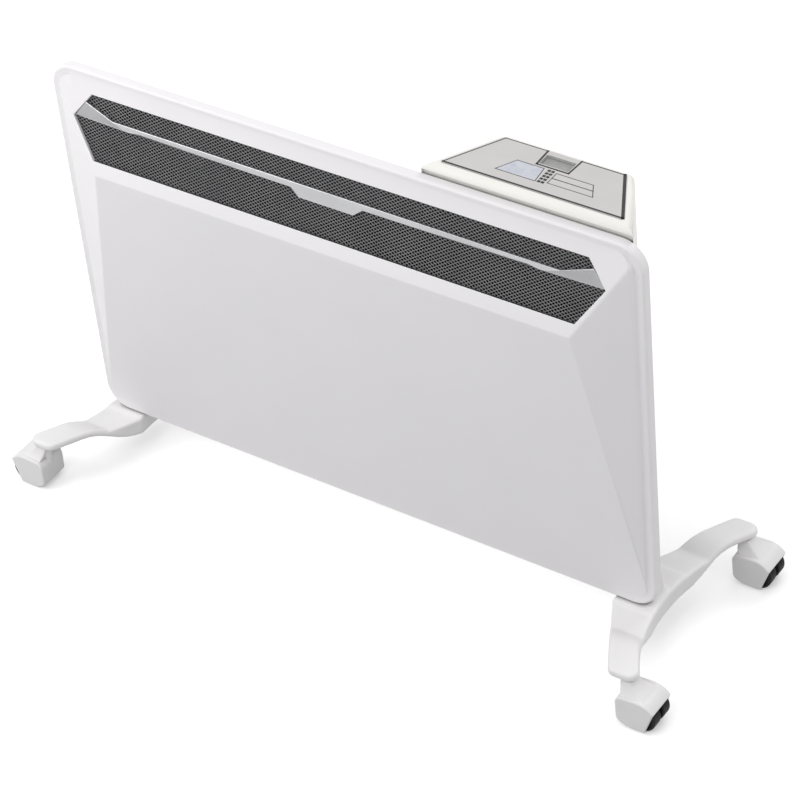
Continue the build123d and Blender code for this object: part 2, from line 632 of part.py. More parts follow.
def panel_screws():
    return Compound([screw_forwards(x, PANEL_BACK_Y, z, PANEL_SCREW_LENGTH) for x, z in PANEL_SCREWS])


# ---------------------------------------------------------------- control unit

def unit_block(inset, bottom):
    """Wedge-shaped unit: a cap over the body's top edge and a back hanging behind it."""
    front = UNIT_FRONT + inset
    back = UNIT_BACK - inset
    top = UNIT_TOP - inset
    shelf_slope = (BACK_TOP - MOUTH_TOP) / (HOUSING_BACK_Y - PANEL_BACK_Y)
    shelf = PANEL_TOP - MOUTH_TOP + (UNIT_GAP + inset) * hypot(1, shelf_slope)
    behind = HOUSING_BACK_Y + UNIT_GAP + inset
    profile = make_face(Polyline(
        (front, top), (back, top), (back, bottom), (behind, bottom),
        (behind, shelf - shelf_slope * (behind - PANEL_BACK_Y)),
        (front, shelf - shelf_slope * (front - PANEL_BACK_Y)), close=True,
    ))
    side = inset * hypot(1, FLANK_SLOPE)
    half_front = UNIT_FRONT_WIDTH / 2 - FLANK_SLOPE * inset - side
    half_back = UNIT_BACK_WIDTH / 2 + FLANK_SLOPE * inset - side
    plan = make_face(Polyline(
        (-half_front, front), (half_front, front), (half_back, back), (-half_back, back), close=True))
    across = extrude(Plane.YZ * profile, amount=UNIT_FRONT_WIDTH / 2, both=True)
    upwards = extrude(Pos(0, 0, UNIT_BOTTOM - 1) * plan, amount=UNIT_TOP - UNIT_BOTTOM + 2)
    return across & upwards


def unit_plan(front, back, margin):
    """Trapezoid between two depths, inside the unit's flanks by margin."""
    side = margin * hypot(1, FLANK_SLOPE)
    half_front = UNIT_FRONT_WIDTH / 2 - FLANK_SLOPE * (front - UNIT_FRONT) - side
    half_back = UNIT_FRONT_WIDTH / 2 - FLANK_SLOPE * (back - UNIT_FRONT) - side
    return make_face(Polyline(
        (-half_front, front), (half_front, front), (half_back, back), (-half_back, back), close=True))


def in_unit(shape):
    """From the unit's own middle to its place on the heater."""
    return Pos(UNIT_X, 0, 0) * shape


def flank_plane():
    """Plane on the unit's left flank: x backwards along it, y up, facing outwards."""
    back = SWITCH_BACK * FLANK_SLOPE
    return Plane(
        origin=(-UNIT_BACK_WIDTH / 2 - back, UNIT_BACK - SWITCH_BACK, UNIT_BOTTOM + SWITCH_HEIGHT),
        x_dir=(-FLANK_SLOPE, -1, 0),
        z_dir=(-1, FLANK_SLOPE, 0),
    )


def post_places():
    """Four posts under the unit's top that carry the control board."""
    middle = (LABEL_FRONT_Y + LABEL_BACK_Y) / 2
    reach_x = BOARD_SIZE[0] / 2 - 2 * POST_RADIUS
    reach_y = BOARD_SIZE[1] / 2 - 2 * POST_RADIUS
    return [(x, middle + y) for x in (-reach_x, reach_x) for y in (-reach_y, reach_y)]


def board_top():
    return UNIT_TOP - UNIT_WALL - LENS_THICKNESS - DISPLAY_SIZE[2]


def unit_casing():
    outer = unit_block(0, UNIT_BOTTOM)
    corners = outer.edges().filter_by(Axis.Z).group_by(Axis.Y)[-1]
    outer = fillet(corners, UNIT_CORNER)
    rim = outer.faces().sort_by(Axis.Z)[-1].edges()
    outer = fillet(rim, UNIT_TOP_ROUND)
    casing = outer - unit_block(UNIT_WALL, UNIT_BOTTOM - 1)
    label = unit_plan(LABEL_FRONT_Y, LABEL_BACK_Y, LABEL_SIDE_MARGIN)
    casing -= extrude(Pos(0, 0, UNIT_TOP - LABEL_RECESS) * label, amount=UNIT_WALL)
    window = Pos(0, WINDOW_Y, UNIT_TOP) * Box(*WINDOW_SIZE, 4 * UNIT_WALL)
    casing -= window
    opening = switch_outline(FRAME_WALL + LABEL_FIT)
    casing -= extrude(flank_plane() * opening, amount=UNIT_WALL * 2, both=True)
    posts = Sketch() + [Pos(x, y) * Circle(POST_RADIUS) for x, y in post_places()]
    casing += extrude(Pos(0, 0, board_top()) * posts, amount=UNIT_TOP - UNIT_WALL - board_top())
    return in_unit(casing)


def unit_base():
    """Cover that closes the unit's underside, with the cord inlet's hole."""
    inner_front = HOUSING_BACK_Y + UNIT_GAP + UNIT_WALL + HOUSING_FIT
    inner_back = UNIT_BACK - UNIT_WALL - HOUSING_FIT
    plan = unit_plan(inner_front, inner_back, UNIT_WALL + HOUSING_FIT)
    plan = fillet(plan.vertices().group_by(Axis.Y)[-1], UNIT_CORNER - UNIT_WALL)
    base = extrude(Pos(0, 0, UNIT_BOTTOM) * plan, amount=BASE_THICKNESS)
    base -= gland_rod(GLAND_RADIUS + SEAT_GAP, -1, BASE_THICKNESS + 2)
    return in_unit(base)


def gland_rod(radius, low, length):
    """Cylinder on the cord inlet's axis, starting low above the unit's underside."""
    y = (HOUSING_BACK_Y + UNIT_BACK) / 2
    return rod("Z", (0, y, UNIT_BOTTOM + low), radius, length)


def cord_inlet():
    """Ribbed inlet bush in the unit's base; the cord itself isn't part of the model."""
    flange = gland_rod(GLAND_FLANGE, BASE_THICKNESS, BASE_THICKNESS)
    sleeve = gland_rod(GLAND_RADIUS, BASE_THICKNESS - GLAND_LENGTH, GLAND_LENGTH)
    inlet = flange + sleeve - gland_rod(GLAND_BORE, -GLAND_LENGTH, 2 * GLAND_LENGTH)
    for step in GLAND_GROOVES:
        ring = gland_rod(GLAND_RADIUS + GLAND_GROOVE, -step, GLAND_GROOVE)
        inlet -= ring - gland_rod(GLAND_RADIUS - GLAND_GROOVE, -step, GLAND_GROOVE)
    return in_unit(inlet)


def control_label():
    label = unit_plan(LABEL_FRONT_Y + LABEL_FIT, LABEL_BACK_Y - LABEL_FIT, LABEL_SIDE_MARGIN + LABEL_FIT)
    plate = extrude(Pos(0, 0, UNIT_TOP - LABEL_RECESS) * label, amount=LABEL_THICKNESS)
    plate = fillet(plate.edges().filter_by(Axis.Z), LABEL_CORNER)
    return in_unit(plate - Pos(0, WINDOW_Y, UNIT_TOP) * Box(*WINDOW_SIZE, 4 * UNIT_WALL))


def display_window():
    width, depth = WINDOW_SIZE
    lens = Box(width - 2 * LABEL_FIT, depth - 2 * LABEL_FIT, LENS_THICKNESS)
    top = UNIT_TOP - LABEL_RECESS + LABEL_THICKNESS
    lens = Pos(0, WINDOW_Y, top - LENS_THICKNESS / 2) * lens
    return in_unit(fillet(lens.edges().filter_by(Axis.Z), LENS_CORNER))


def display_module():
    width, depth, height = DISPLAY_SIZE
    body = Pos(0, WINDOW_Y, board_top() + height / 2) * Box(width, depth, height)
    return in_unit(chamfer(body.edges().group_by(Axis.Z)[-1], DISPLAY_BEVEL))


def control_board():
    middle = (LABEL_FRONT_Y + LABEL_BACK_Y) / 2
    width, depth, height = BOARD_SIZE
    board = Pos(0, middle, board_top() - height / 2) * Box(width, depth, height)
    cut = Rot(0, 0, 45) * Box(BOARD_CORNER_CUT, BOARD_CORNER_CUT, 3 * height)
    board -= Pos(width / 2, middle + depth / 2, board_top()) * cut
    chip_z = board_top() - height - CHIP_SIZE[2] / 2
    for i in range(CHIPS):
        x = (i - CHIPS / 2) * width / (CHIPS + 2)
        board += Pos(x, middle - depth / 4, chip_z) * Box(*CHIP_SIZE)
    return in_unit(board)


def power_board():
    """Upright board behind the body, with a relay and a finned heat sink."""
    width, depth, height = POWER_BOARD_SIZE
    inside = UNIT_BACK - UNIT_WALL
    y = inside - POWER_BOARD_BACK + depth / 2
    front = y - depth / 2
    z = UNIT_BOTTOM + BASE_THICKNESS + POWER_BOARD_LIFT + height / 2
    board = Pos(0, y, z) * Box(width, depth, height)
    board += Pos(-width / 4, front - RELAY_SIZE[1] / 2, z) * Box(*RELAY_SIZE)
    sink = Pos(width / 4, front - SINK_SIZE[1] / 2, z) * Box(*SINK_SIZE)
    fin_y = front - SINK_SIZE[1] - FIN_SIZE[1] / 2
    step = (SINK_SIZE[0] - FIN_SIZE[0]) / (SINK_FINS - 1)
    for i in range(SINK_FINS):
        x = width / 4 + (i - (SINK_FINS - 1) / 2) * step
        sink += Pos(x, fin_y, z) * Box(*FIN_SIZE)
    foot = Box(BOARD_FOOT, inside - y, BOARD_FOOT)
    for side in (-1, 1):
        board += Pos(side * (width - BOARD_FOOT) / 2, (y + inside) / 2, z) * foot
    return in_unit(board + sink)


def switch_outline(margin):
    """Rectangle round the rocker's hole, grown by margin."""
    length = ROCKER_LENGTH + 2 * (ROCKER_END_GAP + margin)
    return Rectangle(length, ROCKER_HEIGHT + 2 * (ROCKER_SIDE_GAP + margin))


def rocker_frame():
    """Frame snapped into the flank, with the pin that the rocker turns on."""
    bezel = switch_outline(FRAME_WALL + FRAME_LIP)
    bezel = extrude(fillet(bezel.vertices(), FRAME_LIP), amount=FRAME_PROUD)
    bezel = chamfer(bezel.edges().group_by(Axis.Z)[-1], FRAME_PROUD / 3)
    frame = bezel + extrude(switch_outline(FRAME_WALL), amount=-FRAME_DEPTH)
    frame -= Pos(0, 0, -FRAME_DEPTH - 1) * extrude(switch_outline(0), amount=2 * FRAME_DEPTH)
    pin_length = ROCKER_HEIGHT + 2 * (ROCKER_SIDE_GAP + FRAME_WALL)
    pin = Pos(0, 0, -ROCKER_SINK) * Rot(90, 0, 0) * Cylinder(ROCKER_PIN, pin_length)
    return in_unit(flank_plane() * (frame + pin))


def rocker():
    """Rocker key on its pin, with two slopes that meet in a shallow valley."""
    rise = ROCKER_SINK + FRAME_PROUD + ROCKER_PROUD
    half = ROCKER_LENGTH / 2
    profile = make_face(Polyline(
        (-half, 0), (-half, rise), (0, rise - ROCKER_DISH), (half, rise), (half, 0),
        (half / 2, -ROCKER_SINK / 2), (-half / 2, -ROCKER_SINK / 2), close=True,
    ))
    key = extrude(Plane.XZ * profile, amount=ROCKER_HEIGHT / 2, both=True)
    key = fillet(key.edges().group_by(Axis.Z)[-1], ROCKER_DISH / 3)
    key -= Rot(90, 0, 0) * Cylinder(ROCKER_PIN + RUNNING_GAP, 2 * ROCKER_HEIGHT)
    return in_unit(flank_plane() * Pos(0, 0, -ROCKER_SINK) * key)


# ---------------------------------------------------------------- feet

def foot_plan():
    """Outline seen from above: bowed in at the outer side, with splayed arms."""
    tip = STEM_Y + ARM_OVERRUN
    centre_x = WAIST_OUTER + FOOT_OUTER_RADIUS
    tip_x = centre_x - (FOOT_OUTER_RADIUS ** 2 - tip ** 2) ** 0.5
    outer = ThreePointArc((tip_x, -tip), (WAIST_OUTER, 0), (tip_x, tip))
    inner = Polyline(
        (tip_x, tip), (tip_x - ARM_WIDTH, tip), (FOOT_INNER, SADDLE_BACK),
        (FOOT_INNER, -SADDLE_FRONT), (tip_x - ARM_WIDTH, -tip), (tip_x, -tip),
    )
    plan = make_face(outer + inner)
    tips = plan.vertices().group_by(Axis.Y)
    return fillet(tips[0] + tips[-1], ARM_TIP_ROUND)


def arm_line(level, waist, outwards):
    """Gentle S from the waist's height to the arm's level, for one side."""
    start = Vector(outwards * SADDLE_BACK, waist)
    end = Vector(outwards * ARM_LEVEL_FROM, level)
    return Spline(start, end, tangents=[(outwards, 0), (outwards, 0)])


def foot_profile():
    """Outline seen from the side: level arms joined by a lower waist."""
    tip = STEM_Y + ARM_OVERRUN
    edges = []
    for level, waist in ((ARM_TOP, WAIST_TOP), (ARM_BOTTOM, WAIST_BOTTOM)):
        edges += [
            Line((-tip, level), (-ARM_LEVEL_FROM, level)),
            arm_line(level, waist, -1),
            Line((-SADDLE_BACK, waist), (SADDLE_BACK, waist)),
            arm_line(level, waist, 1),
            Line((ARM_LEVEL_FROM, level), (tip, level)),
        ]
    edges += [Line((side * tip, ARM_BOTTOM), (side * tip, ARM_TOP)) for side in (-1, 1)]
    return make_face(Curve() + edges)


def foot_arms():
    """Both arms and the waist between them, cut to the foot's outline."""
    arms = extrude(Plane.YZ * foot_profile(), amount=WAIST_OUTER + ARM_WIDTH * 3)
    arms = arms & extrude(foot_plan(), amount=ARM_TOP + 1)
    upper = arms.edges().filter_by(lambda e: e.bounding_box().max.Z > ARM_TOP - 0.01)
    return fillet(upper, FOOT_EDGE_ROUND)


def foot_saddle():
    """Raised pad that the panel's lower edge stands on."""
    saddle = Pos(0, 0, WAIST_BOTTOM) * extrude(foot_plan(), amount=SADDLE_TOP - WAIST_BOTTOM)
    saddle = saddle & block(FOOT_INNER, WAIST_OUTER + ARM_WIDTH, -SADDLE_FRONT, SADDLE_BACK,
                            WAIST_BOTTOM, SADDLE_TOP)
    return fillet(saddle.edges().group_by(Axis.Z)[-1], SADDLE_ROUND)


def foot_cheek():
    """Upright tongue behind the panel that the foot's screws go through."""
    front = PANEL_BACK_Y
    outline = make_face(Polyline(
        (front, WAIST_BOTTOM), (front, SADDLE_TOP + CHEEK_RISE),
        (front + CHEEK_DEPTH, SADDLE_TOP + CHEEK_RISE),
        (front + CHEEK_BASE, SADDLE_TOP), (front + CHEEK_BASE, WAIST_BOTTOM), close=True,
    ))
    tongue = extrude(Plane.YZ * outline, amount=CHEEK_OUTER)
    return tongue - extrude(Plane.YZ * outline, amount=CHEEK_INNER)


def foot_right():
    foot = foot_arms() + foot_saddle() + foot_cheek()
    for x, z in FOOT_SCREWS:
        if x > 0:
            foot -= rod("Y", (x, PANEL_BACK_Y - 1, z), SCREW_HOLE, BODY_DEPTH)
            head_seat = PANEL_BACK_Y + FOOT_SCREW_GRIP
            foot -= rod("Y", (x, head_seat, z), SCREW_HEAD + HOUSING_FIT, BODY_DEPTH)
    for side in (-1, 1):
        foot -= rod("Z", (STEM_X, side * STEM_Y, ARM_BOTTOM - 1),
                    STEM_RADIUS + SEAT_GAP, 1 + STEM_INSERT + STEM_ROOM)
    return foot


def foot_screws():
    seat = PANEL_BACK_Y + FOOT_SCREW_GRIP
    length = PANEL_SCREW_LENGTH + FOOT_SCREW_GRIP
    return Compound([screw_forwards(x, seat, z, length) for x, z in FOOT_SCREWS])


# ---------------------------------------------------------------- casters, swivel axis at x = 0, y = 0

def hood_outline():
    """Side view of the hood: a hull round the wheel, the nose and the shoulder."""
    wheel = Pos(TRAIL, WHEEL_RADIUS) * CenterArc((0, 0), HOOD_RADIUS, 0, 360)
    nose = Pos(*NOSE_PLACE) * CenterArc((0, 0), NOSE_RADIUS, 0, 360)
    shoulder = Pos(*SHOULDER_PLACE) * CenterArc((0, 0), SHOULDER_RADIUS, 0, 360)
    hull = make_hull([*wheel.edges(), *nose.edges(), *shoulder.edges()])
    tall = 2 * HOOD_RADIUS
    lean = tall * tan(radians(MOUTH_LEAN))
    keep = make_face(Polyline(
        (-tall, HOOD_FLOOR), (MOUTH_FOOT, HOOD_FLOOR), (MOUTH_FOOT + lean, HOOD_FLOOR + tall),
        (-tall, HOOD_FLOOR + tall), close=True,
    ))
    return hull & keep


def upright_plate(outline, half_width):
    """Side-view outline thickened to both sides of the caster's middle."""
    return extrude(Plane.XZ * outline, amount=half_width, both=True)


def caster_hood():
    outline = hood_outline()
    hood = upright_plate(outline, HOOD_HALF_WIDTH)
    sides = [e for e in hood.edges() if abs(abs(e.center().Y) - HOOD_HALF_WIDTH) < 0.01]
    hood = fillet(sides, HOOD_ROUND)
    hood += rod("Z", (0, 0, NECK_FOOT), NECK_RADIUS, NECK_TOP - NECK_FOOT)
    chamber = Pos(TRAIL, WHEEL_RADIUS) * Circle(CHAMBER_RADIUS)
    chamber += Pos(TRAIL + CHAMBER_RADIUS / 2, 0) * Rectangle(3 * CHAMBER_RADIUS, 2 * WHEEL_RADIUS)
    hollow = upright_plate(chamber, CHAMBER_HALF_WIDTH)
    web_outline = make_hull([
        *(Pos(TRAIL, WHEEL_RADIUS) * CenterArc((0, 0), 2 * AXLE_RADIUS, 0, 360)).edges(),
        *(Pos(*SHOULDER_PLACE) * CenterArc((0, 0), SHOULDER_RADIUS / 2, 0, 360)).edges(),
        *(Pos(*NOSE_PLACE) * CenterArc((0, 0), NOSE_RADIUS / 2, 0, 360)).edges(),
    ])
    hood = hood - hollow + upright_plate(web_outline, HOOD_WEB / 2)
    bore_foot = NECK_TOP - STEM_REACH
    hood -= rod("Z", (0, 0, bore_foot), STEM_RADIUS + RUNNING_GAP, STEM_REACH + 1)
    axle_hole = rod("Y", (TRAIL, -CHAMBER_HALF_WIDTH - AXLE_SEAT, WHEEL_RADIUS),
                    AXLE_RADIUS + SEAT_GAP, 2 * (CHAMBER_HALF_WIDTH + AXLE_SEAT))
    return hood - axle_hole


def caster_stem():
    """Pin pushed into the foot, with a collar that the foot sits on."""
    foot = NECK_TOP - STEM_REACH + 2 * COLLAR_GAP
    pin = rod("Z", (0, 0, foot), STEM_RADIUS, ARM_BOTTOM + STEM_INSERT - foot)
    pin = chamfer(pin.edges().filter_by(GeomType.CIRCLE), STEM_RADIUS / 6)
    return pin + rod("Z", (0, 0, ARM_BOTTOM - COLLAR_HEIGHT), COLLAR_RADIUS, COLLAR_HEIGHT)


def caster_axle():
    half = CHAMBER_HALF_WIDTH + AXLE_SEAT - SEAT_GAP
    pin = rod("Y", (TRAIL, -half, WHEEL_RADIUS), AXLE_RADIUS, 2 * half)
    return chamfer(pin.edges().filter_by(GeomType.CIRCLE), AXLE_RADIUS / 6)


def caster_wheel(side):
    """Solid wheel with a rounded tread and dished faces round its hub."""
    half = WHEEL_WIDTH / 2
    floor = half - WHEEL_DISH
    bore = AXLE_RADIUS + RUNNING_GAP
    ring = WHEEL_RADIUS - WHEEL_RING
    upper = [
        (bore, half), (WHEEL_HUB_RADIUS, half), (WHEEL_HUB_RADIUS + WHEEL_DISH_RUN, floor),
        (ring - WHEEL_DISH_RUN, floor), (ring, half), (WHEEL_RADIUS, half),
    ]
    section = make_face(Polyline(*upper, *[(x, -y) for x, y in reversed(upper)], close=True))
    tread = section.vertices().group_by(Axis.X)[-1]
    section = fillet(tread, WHEEL_EDGE_ROUND)
    wheel = revolve(section, Axis.Y)
    return Pos(TRAIL, side * WHEEL_OFFSET, WHEEL_RADIUS) * wheel


CASTERS = {
    "front_left": (-STEM_X, -STEM_Y, 180),
    "front_right": (STEM_X, -STEM_Y, 0),
    "rear_left": (-STEM_X, STEM_Y, 180),
    "rear_right": (STEM_X, STEM_Y, 0),
}


def caster_parts():
    """Four casters, each trailing away from the heater's middle."""
    pieces = {
        "caster_hood_{}": caster_hood(),
        "caster_stem_{}": caster_stem(),
        "caster_axle_{}": caster_axle(),
        "wheel_{}_1": caster_wheel(-1),
        "wheel_{}_2": caster_wheel(1),
    }
    return {
        name.format(corner): Pos(x, y, 0) * Rot(0, 0, turn) * piece
        for corner, (x, y, turn) in CASTERS.items()
        for name, piece in pieces.items()
    }


# ---------------------------------------------------------------- the whole heater

def heater_parts():
    foot = foot_right()
    parts = {
        "front_panel": front_panel(),
        "outlet_mesh": outlet_mesh(),
        "outlet_bar": outlet_bar(),
        "rear_housing": rear_housing(),
        "panel_screws": panel_screws(),
        "heating_element": heating_element(),
        "heater_rod": heater_rod(),
        "element_bush_left": bush(-1),
        "element_bush_right": bush(1),
        "element_bracket_left": element_bracket(-1),
        "element_bracket_right": element_bracket(1),
        "thermal_cutout": thermal_cutout(),
        "heat_shield": heat_shield(),
        "terminal_block": terminal_block(),
        "tilt_switch": tilt_switch(),
        "unit_casing": unit_casing(),
        "unit_base": unit_base(),
        "control_label": control_label(),
        "display_window": display_window(),
        "display_module": display_module(),
        "control_board": control_board(),
        "power_board": power_board(),
        "rocker_frame": rocker_frame(),
        "rocker": rocker(),
        "cord_inlet": cord_inlet(),
        "foot_right": foot,
        "foot_left": mirror(foot, about=Plane.YZ),
        "foot_screws": foot_screws(),
    }
    parts.update(caster_parts())
    return parts


def main():
    os.makedirs("parts", exist_ok=True)
    for name, shape in heater_parts().items():
        shape.label = name
        export_step(shape, f"parts/{name}.step")


main()
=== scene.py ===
from contextlib import contextmanager
from math import atan2, cos, radians, sin

import bmesh
import bpy
from mathutils import Matrix, Vector


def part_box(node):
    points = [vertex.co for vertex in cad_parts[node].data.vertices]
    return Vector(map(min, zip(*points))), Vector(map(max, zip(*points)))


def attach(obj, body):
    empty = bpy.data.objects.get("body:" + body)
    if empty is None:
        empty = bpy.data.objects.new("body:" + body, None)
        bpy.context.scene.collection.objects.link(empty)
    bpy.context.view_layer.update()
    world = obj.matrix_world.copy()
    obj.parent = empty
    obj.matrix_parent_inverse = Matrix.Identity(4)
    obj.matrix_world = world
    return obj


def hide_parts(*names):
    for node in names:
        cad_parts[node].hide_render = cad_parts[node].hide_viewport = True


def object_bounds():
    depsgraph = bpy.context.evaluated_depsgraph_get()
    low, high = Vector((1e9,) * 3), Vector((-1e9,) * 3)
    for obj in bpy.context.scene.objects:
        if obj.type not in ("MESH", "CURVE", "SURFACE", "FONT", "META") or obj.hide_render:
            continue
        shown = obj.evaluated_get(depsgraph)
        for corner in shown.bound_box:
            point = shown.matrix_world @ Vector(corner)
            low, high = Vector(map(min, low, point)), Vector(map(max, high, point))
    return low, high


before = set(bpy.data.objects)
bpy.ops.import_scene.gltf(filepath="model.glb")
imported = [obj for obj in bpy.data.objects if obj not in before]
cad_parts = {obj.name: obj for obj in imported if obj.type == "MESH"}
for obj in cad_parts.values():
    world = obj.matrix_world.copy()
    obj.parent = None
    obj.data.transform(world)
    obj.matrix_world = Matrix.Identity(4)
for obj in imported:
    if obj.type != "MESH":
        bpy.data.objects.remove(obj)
cad_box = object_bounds()

# ---------------------------------------------------------------- sizes, in metres

MM = 0.001
SAME_PLACE = 0.002 * MM                      # corners this near are one corner
FLAT_WITHIN = 0.4                            # faces that turn less, in degrees, are one face
RIDGE = Vector((0, -53, 368)) * MM           # middle of the panel's ridge
FACET_LEAN = atan2(87, 28)                   # upper facet from the horizontal
FACET_UP = Vector((0, cos(FACET_LEAN), sin(FACET_LEAN)))
FACET_OUT = Vector((0, -sin(FACET_LEAN), cos(FACET_LEAN)))
OUTLET = ((263, 14), (289, 53), (269, 78))   # right corners of the outlet on the facet, in mm
BAR_LINE = OUTLET[1][1] * MM                 # bar's lower edge, up the facet from the ridge


# ---------------------------------------------------------------- modelling by hand

def start_afresh():
    """Leaves edit mode and selects nothing."""
    if bpy.context.object and bpy.context.object.mode != "OBJECT":
        bpy.ops.object.mode_set(mode="OBJECT")
    bpy.ops.object.select_all(action="DESELECT")


def new_piece(name, add, **settings):
    """Adds a primitive and gives it the piece's name."""
    start_afresh()
    add(**settings)
    piece = bpy.context.object
    piece.name = piece.data.name = name
    return piece


def take_up(piece):
    """Selects the piece alone."""
    start_afresh()
    piece.select_set(True)
    bpy.context.view_layer.objects.active = piece


@contextmanager
def edited(piece):
    """Edit mode on the piece, for as long as the block lasts."""
    take_up(piece)
    bpy.ops.object.mode_set(mode="EDIT")
    bpy.ops.mesh.select_mode(type="VERT")
    yield
    bpy.ops.object.mode_set(mode="OBJECT")


def pick(piece, kind, test):
    """In edit mode, selects the vertices, edges or faces that pass the test, and nothing else."""
    mode = {"verts": "VERT", "edges": "EDGE", "faces": "FACE"}[kind]
    bpy.ops.mesh.select_mode(type=mode)
    bpy.ops.mesh.select_all(action="DESELECT")
    shape = bmesh.from_edit_mesh(piece.data)
    for part in [part for part in getattr(shape, kind) if test(part)]:
        part.select_set(True)
    shape.select_flush_mode()
    bmesh.update_edit_mesh(piece.data)


def finish_with(piece, kind, **settings):
    """Adds a modifier and applies it."""
    take_up(piece)
    modifier = piece.modifiers.new(kind.lower(), kind)
    for setting, value in settings.items():
        setattr(modifier, setting, value)
    bpy.ops.object.modifier_apply(modifier=modifier.name)


def smooth(piece, angle):
    """Shades the piece smooth, except where its faces turn by more than the angle in degrees."""
    take_up(piece)
    bpy.ops.object.shade_smooth_by_angle(angle=radians(angle))


def settle(piece):
    """Puts the object's place, turn and scale into its mesh."""
    take_up(piece)
    bpy.ops.object.transform_apply(location=True, rotation=True, scale=True)


def lay_on_facet(piece, depth):
    """From the sheet's own plane to the upper facet, depth behind its face."""
    piece.rotation_euler = (FACET_LEAN, 0, 0)
    piece.location = RIDGE - FACET_OUT * depth
    settle(piece)


def plate(name, corners, bottom, top):
    """Four-cornered plate: a plane whose corners are pulled to their places in mm, then raised."""
    piece = new_piece(name, bpy.ops.mesh.primitive_plane_add, size=2 * MM, location=(0, 0, bottom))
    settle(piece)
    with edited(piece):
        for index, corner in zip((0, 1, 3, 2), corners):
            pick(piece, "verts", lambda v: v.index == index)
            start = Vector([(-1, -1), (1, -1), (-1, 1), (1, 1)][index])
            pull = (Vector(corner) - start) * MM
            bpy.ops.transform.translate(value=(pull.x, pull.y, 0))
        bpy.ops.mesh.select_all(action="SELECT")
        bpy.ops.mesh.extrude_region_move(TRANSFORM_OT_translate={"value": (0, 0, top - bottom)})
        bpy.ops.mesh.select_all(action="SELECT")
        bpy.ops.mesh.normals_make_consistent(inside=False)
    return piece


def cut_with(piece, cutter):
    """Takes the cutter's volume out of the piece, and the cutter out of the scene."""
    finish_with(piece, "BOOLEAN", operation="DIFFERENCE", object=cutter)
    bpy.data.objects.remove(cutter)


def joined(name, pieces):
    """One piece out of several."""
    start_afresh()
    for piece in pieces:
        piece.select_set(True)
    bpy.context.view_layer.objects.active = pieces[0]
    bpy.ops.object.join()
    pieces[0].name = pieces[0].data.name = name
    return pieces[0]


def dress(piece, body, slot, *nodes):
    """Puts the piece on its body, in its slot's finish, in place of the nodes that it replaces."""
    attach(piece, body)
    if nodes:
        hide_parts(*nodes)
    piece.data.materials.clear()
    piece.data.materials.append(finishes[slot])


def copy_of_node(name, node):
    """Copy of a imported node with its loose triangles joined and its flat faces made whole."""
    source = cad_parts[node]
    piece = bpy.data.objects.new(name, source.data.copy())
    bpy.context.scene.collection.objects.link(piece)
    piece.data.name = name
    with edited(piece):
        bpy.ops.mesh.select_all(action="SELECT")
        bpy.ops.mesh.remove_doubles(threshold=SAME_PLACE)
        bpy.ops.mesh.dissolve_limited(angle_limit=radians(FLAT_WITHIN))
    return piece


# ---------------------------------------------------------------- finishes

ALONG_BAR = (0.03, 1, 1)               # brushing that runs along X
PATCH_SPREAD = (0.3, 0.7)              # noise values where one patch ends and the next is full
EDGE_TURN = 0.86                       # cosine of the turn at which an edge is fully sharp
EDGE_PATCH = 9 * MM                    # rubbed edges come and go in patches of this size
EDGE_SPREAD = (0.35, 0.65)
EDGE_LEAST = 0.3                       # share of the rubbing that is left between the patches
TURNED_TO_SIDE = 0.3                   # least part of a wall's normal that points to its side
PAINTED_INSIDE_SHADE = (0.022, 0.022, 0.024)    # painted shade on the heater's inner sides, dark only because little light gets in
# Painted shade: gaps and grooves are darkened towards this grey by ambient occlusion, in place of
# the shadow that falls there.
PAINTED_SHADE_GREY = (0.22, 0.215, 0.21)
PAINTED_SHADE_REACH = 5 * MM
PAINTED_SHADE_OPENNESS = (0.30, 0.80)        # openness of a full crevice, and of none


def add_node(tree, kind, **inputs):
    node = tree.nodes.new(kind)
    for name, value in inputs.items():
        node.inputs[name.replace("_", " ")].default_value = value
    return node


def noise(tree, size, detail=2.0, stretch=(1, 1, 1)):
    """Noise on object coordinates with patches of the given size, in metres."""
    place = tree.nodes.new("ShaderNodeTexCoord").outputs["Object"]
    if stretch != (1, 1, 1):
        turn = tree.nodes.new("ShaderNodeMapping")
        turn.inputs["Scale"].default_value = stretch
        tree.links.new(place, turn.inputs["Vector"])
        place = turn.outputs["Vector"]
    pattern = add_node(tree, "ShaderNodeTexNoise", Scale=1 / size, Detail=detail)
    tree.links.new(place, pattern.inputs["Vector"])
    return pattern.outputs["Fac"]


def ramp(tree, value, low, high, to_low, to_high):
    """The value brought from one range to another, and held within it."""
    step = tree.nodes.new("ShaderNodeMapRange")
    limits = {"From Min": low, "From Max": high, "To Min": to_low, "To Max": to_high}
    for name, amount in limits.items():
        step.inputs[name].default_value = amount
    tree.links.new(value, step.inputs["Value"])
    return step.outputs["Result"]


def product(tree, first, second):
    """Product of two nodes' outputs."""
    both = tree.nodes.new("ShaderNodeMath")
    both.operation = "MULTIPLY"
    tree.links.new(first, both.inputs[0])
    tree.links.new(second, both.inputs[1])
    return both.outputs["Value"]


def blend_colours(tree, amount, first, second):
    """Mix of two colours, each a colour or another node's output."""
    mix = tree.nodes.new("ShaderNodeMix")
    mix.data_type = "RGBA"
    tree.links.new(amount, mix.inputs["Factor"])
    for socket, colour in (("A", first), ("B", second)):
        target = [s for s in mix.inputs if s.name == socket and s.type == "RGBA"][0]
        if isinstance(colour, tuple):
            target.default_value = (*colour, 1)
        else:
            tree.links.new(colour, target)
    return [s for s in mix.outputs if s.type == "RGBA"][0]


